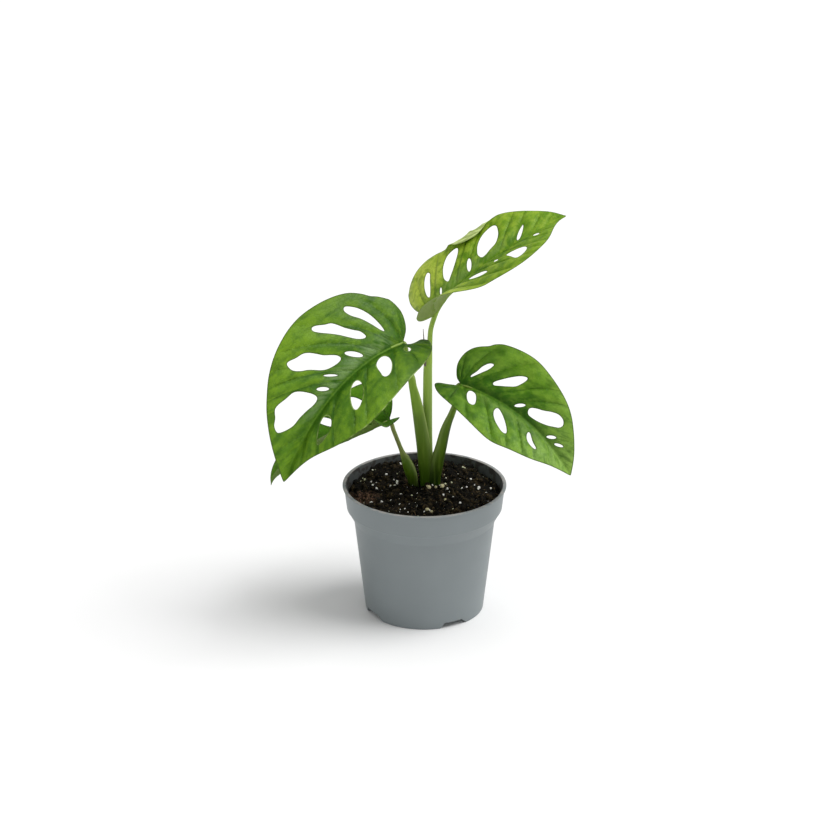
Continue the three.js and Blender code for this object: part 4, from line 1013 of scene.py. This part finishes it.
# In each tone, dark also serves as painted shade in the pads and beside the midrib, sheen is a painted
# reflection of the sky, the rim colour for lit edges is a painted highlight, and far_shade sets the painted
# shade of the far half.
finishes = {
    "left": leaf_finish("leaf_bright", -1.0, {
        "deep": srgb(58, 104, 16), "body": srgb(88, 132, 26), "bright": srgb(122, 162, 34),
        "dark": srgb(40, 84, 4), "lobe": srgb(84, 122, 32), "tip": srgb(110, 154, 30),
        "rib": srgb(106, 150, 40), "below": srgb(98, 126, 52), "rim": srgb(70, 92, 30),
        "lit_rim_colour": srgb(166, 188, 112), "sheen": srgb(134, 164, 104), "far_shade": 0.05, "bands": 1,
        "spots": 0.35, "lobe_end": 42}),
    "top": leaf_finish("leaf_young", 1.0, {
        "deep": srgb(84, 132, 8), "body": srgb(122, 160, 24), "bright": srgb(164, 192, 58),
        "dark": srgb(62, 112, 2), "lobe": srgb(212, 230, 92), "tip": srgb(140, 182, 46),
        "rib": srgb(120, 158, 30), "below": srgb(138, 158, 80), "rim": srgb(84, 108, 28),
        "lit_rim_colour": srgb(84, 108, 28), "sheen": srgb(136, 168, 80), "far_shade": 0.35, "bands": 0.6,
        "spots": 0.55, "lobe_end": 38}),
    "right": leaf_finish("leaf_green", -1.0, {
        "deep": srgb(54, 104, 4), "body": srgb(94, 140, 24), "bright": srgb(132, 172, 52),
        "dark": srgb(38, 82, 0), "lobe": srgb(98, 142, 42), "tip": srgb(172, 212, 100),
        "rib": srgb(100, 144, 40), "below": srgb(98, 124, 62), "rim": srgb(58, 82, 26),
        "lit_rim_colour": srgb(58, 82, 26), "sheen": srgb(116, 150, 66), "far_shade": 0, "bands": 0.6,
        "spots": 0.35, "lobe_end": 34}),
    "back": leaf_finish("leaf_dark", 1.0, {
        "deep": srgb(70, 124, 4), "body": srgb(90, 148, 8), "bright": srgb(112, 166, 26),
        "dark": srgb(50, 96, 0), "lobe": srgb(150, 194, 84), "tip": srgb(104, 150, 28),
        "rib": srgb(90, 130, 32), "below": srgb(112, 138, 66), "rim": srgb(48, 68, 24),
        "lit_rim_colour": srgb(48, 68, 24), "sheen": srgb(88, 126, 50), "far_shade": 0, "bands": 0.8,
        "spots": 0.3, "lobe_end": 16}),
}
leaf_slots = {"left": "bright_leaf", "top": "young_leaf", "right": "bright_leaf", "back": "dark_leaf"}
for side, leaf in leaves.items():
    piece = blade_piece(f"blade_{side}", leaf)
    set_finish(piece, finishes[side], leaf_slots[side], f"leaf_{side}")

# ------------------------------------------------------------------------------------- stalks
# Each leaf stands on a stalk whose lower part is a sheath, open on one side, that clasps the
# younger stalk inside it. The sheath ends in a thin margin, and a dry tip is left on one.

# Stations are (x, y, z, half width, half depth) from the crown up. Those under the midrib are how far
# along it they are, how deep below it, and their radius. The open side of a sheath lies between two
# angles, taken round from the right, with the front at -90: its margin, which is given at the top
# and at the crown, and its back. The sheath stands proud by step, and its open side is hollowed by
# channel. Both run out over the ease below its top.
crown = 85
stalks = {
    "top": {
        "stations": [(3.6, 17.5, 84.3, 3.6, 3), (3.1, 17, 96, 3.7, 3), (2.6, 16, 117, 3.5, 3),
                     (2.4, 15, 140, 3.4, 2.9), (2.4, 14.2, 162, 3.4, 2.8), (2.6, 13.4, 184, 3.1, 2.6),
                     (3.7, 12.9, 201, 2.0, 2.0), (4.5, 12.6, 212, 1.8, 1.8)],
        "under": [(0.5, 1.4, 1.8), (7, 0.8, 1.4), (14, 0.5, 0.9)],
        "sheath": {"top": 190, "ease": 12, "margin": (-80, -56), "back": 70, "step": 0.3, "channel": 0},
    },
    "left": {
        "stations": [(1.1, 13, 84.3, 4.2, 4), (1.1, 12.8, 96, 4.5, 4.2), (0.6, 12, 112, 5.3, 4.4),
                     (-0.3, 11.2, 123, 5.4, 4.4), (-2.2, 10, 138, 5.1, 4), (-5.1, 8.5, 157, 4.3, 3.4),
                     (-8.6, 6.3, 174, 3, 2.7), (-12, 3.4, 187, 2.1, 2.1)],
        "under": [(-2.5, 3.4, 1.9), (4, 1, 1.4), (11, 0.6, 0.9)],
        "sheath": {"top": 178, "ease": 9, "margin": (-48, -20), "back": 60, "step": 0.45, "channel": 0.9},
    },
    "right": {
        "stations": [(7.4, 12.6, 84.3, 4.8, 4), (7.3, 12.3, 95, 5, 4.2), (9.5, 11, 109, 4.9, 4),
                     (12.5, 9.6, 122, 4.3, 3.4), (15.3, 8.4, 135, 3.7, 2.9), (19.4, 6.4, 148, 2.6, 2.3),
                     (23, 2.8, 161, 2, 2)],
        "under": [(-2, 3.2, 1.8), (4, 1, 1.3), (10, 0.6, 0.9)],
        "sheath": {"top": 150, "ease": 8, "margin": (-68, -58), "back": 40, "step": 0.45, "channel": 0.25},
    },
    "back": {
        "stations": [(-6.8, 12.5, 84.3, 3.8, 3.2), (-7.6, 12.4, 93, 4.1, 3.4), (-9.4, 12.2, 101, 4.8, 3.6),
                     (-12.5, 12.3, 109, 3.9, 2.9), (-15, 12.4, 113.6, 2.5, 2.2), (-17, 12.6, 118.5, 1.7, 1.7),
                     (-19.4, 12.8, 125, 1.6, 1.6), (-22.2, 13.3, 132.5, 1.6, 1.6)],
        "under": [(0.6, 2.2, 1.6), (5.5, 0.8, 1.2), (12, 0.5, 0.8)],
        "sheath": {"top": 112, "ease": 2.5, "margin": (-42, -48), "back": 50, "step": 0.55, "channel": 1.3},
    },
}
stalk_steps = 10
sheath_columns, open_columns = 34, 14


def stalk_path(stalk, leaf):
    """Smoothly joined stations, up to those under the midrib of the leaf."""
    stations = [np.array(station, float) for station in stalk["stations"]]
    for s, depth, radius in stalk["under"]:
        at = np.array([float(s)])
        place = on_midrib(leaf, at)[0] - towards(leaf, at)[2][0] * (depth + blade["thickness"] / 2)
        stations.append(np.array([*place, radius, radius]))
    padded = [2 * stations[0] - stations[1], *stations, 2 * stations[-1] - stations[-2]]
    path = [curve_between(*four, t) for four in zip(padded, padded[1:], padded[2:], padded[3:])
            for t in np.arange(stalk_steps) / stalk_steps]
    return np.array([*path, stations[-1]])


def stalk_piece(name, stalk, leaf):
    path = stalk_path(stalk, leaf)
    sheath = stalk["sheath"]
    at_top, at_crown = sheath["margin"]
    tangents = np.gradient(path[:, :3], axis=0)
    columns = sheath_columns + open_columns + 2
    points, margins, channels, turned = [], [], [], []
    for (x, y, z, wide, deep), tangent in zip(path, tangents):
        tangent = tangent / np.linalg.norm(tangent)
        across = np.cross(tangent, (0, -1, 0))
        across = across / np.linalg.norm(across)
        outward_of = np.cross(tangent, across)
        there = 1 - float(smoothstep(sheath["top"] - sheath["ease"], sheath["top"], z))
        low = at_crown + (at_top - at_crown) * (z - crown) / (sheath["top"] - crown)
        low = math.radians(min(max(low, -120), 0))
        high = math.radians(sheath["back"])
        closed = np.linspace(low, high - 2 * math.pi, sheath_columns + 1)
        opened = np.linspace(high - 2 * math.pi, low - 2 * math.pi, open_columns + 1)
        proud = np.full(len(closed), sheath["step"] * there * 0.5)
        sunk = -sheath["step"] * there * 0.5 - sheath["channel"] * there * np.sin(
            np.linspace(0, math.pi, len(opened))) ** 0.6
        for angle, offset in zip([*closed, *opened], [*proud, *sunk]):
            points.append(np.array([x, y, z]) + across * (wide + offset) * math.cos(angle)
                          + outward_of * (deep + offset) * math.sin(angle))
        margins += list(np.abs(closed - low) * wide / max(there, 0.01))
        margins += [99] * len(opened)
        channels += [0] * len(closed) + [there] * len(opened)
        turned += list(np.cos([*closed, *opened]))
    faces = []
    for ring in range(len(path) - 1):
        for k in range(columns):
            after = (k + 1) % columns
            low_row, high_row = ring * columns, (ring + 1) * columns
            faces.append((low_row + after, low_row + k, high_row + k, high_row + after))
    faces.append(tuple(range(columns)))
    faces.append(tuple(reversed(range(len(points) - columns, len(points)))))
    piece = make_piece(name, points, faces, sharp=50)
    for key, values in (("margin", margins), ("channel", channels), ("turned", turned)):
        keep(piece.data, key, values)
    return piece


def stalk_finish(name, foot, middle, top, channel, levels, light_side, light, margin):
    """Skin from dark green in the peat to lighter up the stalk. Levels are the heights of its three colours.
    The open side of a sheath takes the channel colour, painted shade in the hollow where that is darker.
    Light says how much the side towards light_side is painted paler, as a painted highlight, and margin how
    much the sheath's edge is paler, partly its own colour and partly a painted highlight."""
    finish = Finish(name)
    height = finish.height()
    streak = finish.cloud(1.0, 3, finish.stretch(300, 300, 12))
    blotch = finish.cloud(14, 2) * 16 - 8
    colour = finish.mix(finish.ramp(height + blotch, levels[0], levels[1]), foot, middle)
    colour = finish.mix(finish.ramp(height + blotch, levels[1], levels[2]), colour, top)
    colour = finish.mix(finish.ramp(streak, 0.5, 0.75) * 0.3, colour, srgb(138, 164, 66))
    colour = finish.mix(finish.ramp(streak, 0.5, 0.3) * 0.2, colour, srgb(50, 84, 2))
    # Painted shade: the channel colour darkens the hollow open side of the right and back sheaths; on the top
    # and left stalks it is paler.
    colour = finish.mix(finish.measure("channel") * 0.8, colour, channel)
    # Painted highlight: the side turned towards light_side is paler.
    painted_lit_side = finish.ramp(finish.measure("turned") * light_side, 0.15, 0.9)
    painted_lit_side = painted_lit_side * finish.ramp(height, levels[0], levels[1])
    colour = finish.mix(painted_lit_side * light, colour, srgb(182, 200, 122))
    # The sheath's thin edge is paler: partly its own colour, partly a painted highlight where it catches the
    # light.
    thin = finish.ramp(finish.measure("margin"), 1.6, 0.2) * finish.ramp(height, levels[0], levels[1])
    colour = finish.mix(thin * margin, colour, srgb(172, 194, 108))
    relief = finish.bump(streak, 0.1)
    return finish.done(finish.surface(base_color=colour, roughness=0.36 + streak * 0.12, normal=relief,
                                      specular=0.25))


stalk_finishes = {
    "top": stalk_finish("stalk_top_green", foot=srgb(56, 84, 10), middle=srgb(126, 156, 62),
                        top=srgb(152, 184, 72), channel=srgb(148, 178, 84), levels=(98, 144, 166),
                        light_side=-1.0, light=0.3, margin=0.15),
    "left": stalk_finish("stalk_left_green", foot=srgb(48, 78, 0), middle=srgb(90, 120, 22),
                         top=srgb(122, 158, 42), channel=srgb(104, 138, 34), levels=(86, 138, 166),
                         light_side=1.0, light=0.3, margin=0.5),
    "right": stalk_finish("stalk_right_green", foot=srgb(24, 48, 0), middle=srgb(84, 114, 8),
                          top=srgb(86, 116, 14), channel=srgb(52, 76, 2), levels=(90, 128, 150),
                          light_side=-1.0, light=0.25, margin=0.0),
    "back": stalk_finish("stalk_back_green", foot=srgb(20, 36, 0), middle=srgb(80, 112, 8),
                         top=srgb(120, 130, 66), channel=srgb(74, 104, 8), levels=(88, 108, 117),
                         light_side=1.0, light=0.5, margin=0.6),
}
for side, stalk in stalks.items():
    piece = stalk_piece(f"stalk_{side}", stalk, leaves[side])
    set_finish(piece, stalk_finishes[side], "stalk", f"petiole_{side}")


def sheath_tip_piece():
    """The dry tip: a thin blade that rolls in to a point."""
    low, high = np.array((0.6, 11.4, 184.0)), np.array((-0.7, 10.6, 213.0))
    half_width, half_depth, sway = 1.0, 0.45, 0.25
    sides, rows = 8, 14
    points, faces = [], []
    for row in range(rows + 1):
        t = row / rows
        centre = low + (high - low) * t + np.array((sway * math.sin(5 * t), 0, 0))
        for k in range(sides):
            angle = 2 * math.pi * k / sides
            out = np.array((math.cos(angle) * half_width, math.sin(angle) * half_depth, 0))
            points.append(centre + out * (1.05 - 0.85 * t))
        if row:
            for k in range(sides):
                after = (k + 1) % sides
                faces.append(((row - 1) * sides + k, (row - 1) * sides + after, row * sides + after,
                              row * sides + k))
    faces += [tuple(reversed(range(sides))), tuple(range(rows * sides, (rows + 1) * sides))]
    return make_piece("dry_sheath_tip", points, faces)


def dry_finish():
    finish = Finish("dry_sheath")
    fibres = finish.cloud(1, 3, finish.stretch(2500, 2500, 90))
    colour = finish.mix(fibres, srgb(96, 84, 72), srgb(128, 122, 104))
    return finish.done(finish.surface(base_color=colour, roughness=0.7 + fibres * 0.2,
                                      normal=finish.bump(fibres, 0.15)))


set_finish(sheath_tip_piece(), dry_finish(), "stalk")

# --------------------------------------------------------------------------------------- stem
# The short stem that all the stalks grow from is buried in the peat.


def stem_finish():
    finish = Finish("stem_bark")
    rings = finish.cloud(1, 3, finish.stretch(120, 120, 900))
    colour = finish.mix(rings, srgb(92, 98, 48), srgb(128, 130, 70))
    return finish.done(finish.surface(base_color=colour, roughness=0.6 + rings * 0.2,
                                      normal=finish.bump(rings, 0.2)))


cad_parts["stem"].data.materials.clear()
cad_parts["stem"].data.materials.append(stem_finish())

# ------------------------------------------------------------------------------------- studio
# A white floor under a large soft light from the right, with light from all round to fill the
# shadows. The camera stands in front and looks down on the pot.

floor_size = 30000
far = floor_size / 2
floor_corners = [(-far, -far, 0), (far, -far, 0), (far, far, 0), (-far, far, 0)]
floor = make_piece("floor", floor_corners, [(0, 1, 2, 3)])
white = Finish("floor_white")
floor.data.materials.append(white.done(white.surface(base_color=(0.9, 0.9, 0.9, 1.0), roughness=0.9)))

fill_strength = 0.56
world = bpy.data.worlds.new("studio")
bpy.context.scene.world = world
world.use_nodes = True
background = world.node_tree.nodes["Background"]
background.inputs["Color"].default_value = (1.0, 1.0, 1.0, 1.0)
background.inputs["Strength"].default_value = fill_strength

key_strength, key_width = 2.4, 42
key_towards = Vector((-0.52, 0.02, -0.85))
key = bpy.data.lights.new("key", "SUN")
key.energy = key_strength
key.angle = math.radians(key_width)
key_object = bpy.data.objects.new("key", key)
key_object.rotation_euler = key_towards.to_track_quat("-Z", "Y").to_euler()
bpy.context.scene.collection.objects.link(key_object)

camera_tilt = 22.7
camera_place = (-3.24, -2214.09, 1072.97)
sensor_width, focal_length = 36, 142.84
view_end = 100
camera = bpy.data.cameras.new("camera")
camera.sensor_width = sensor_width
camera.lens = focal_length
camera.clip_end = view_end
camera_object = bpy.data.objects.new("camera", camera)
camera_object.location = [c * MM for c in camera_place]
camera_object.rotation_euler = (math.radians(90 - camera_tilt), 0, 0)
bpy.context.scene.collection.objects.link(camera_object)
bpy.context.scene.camera = camera_object
bpy.context.scene.view_settings.view_transform = "Standard"
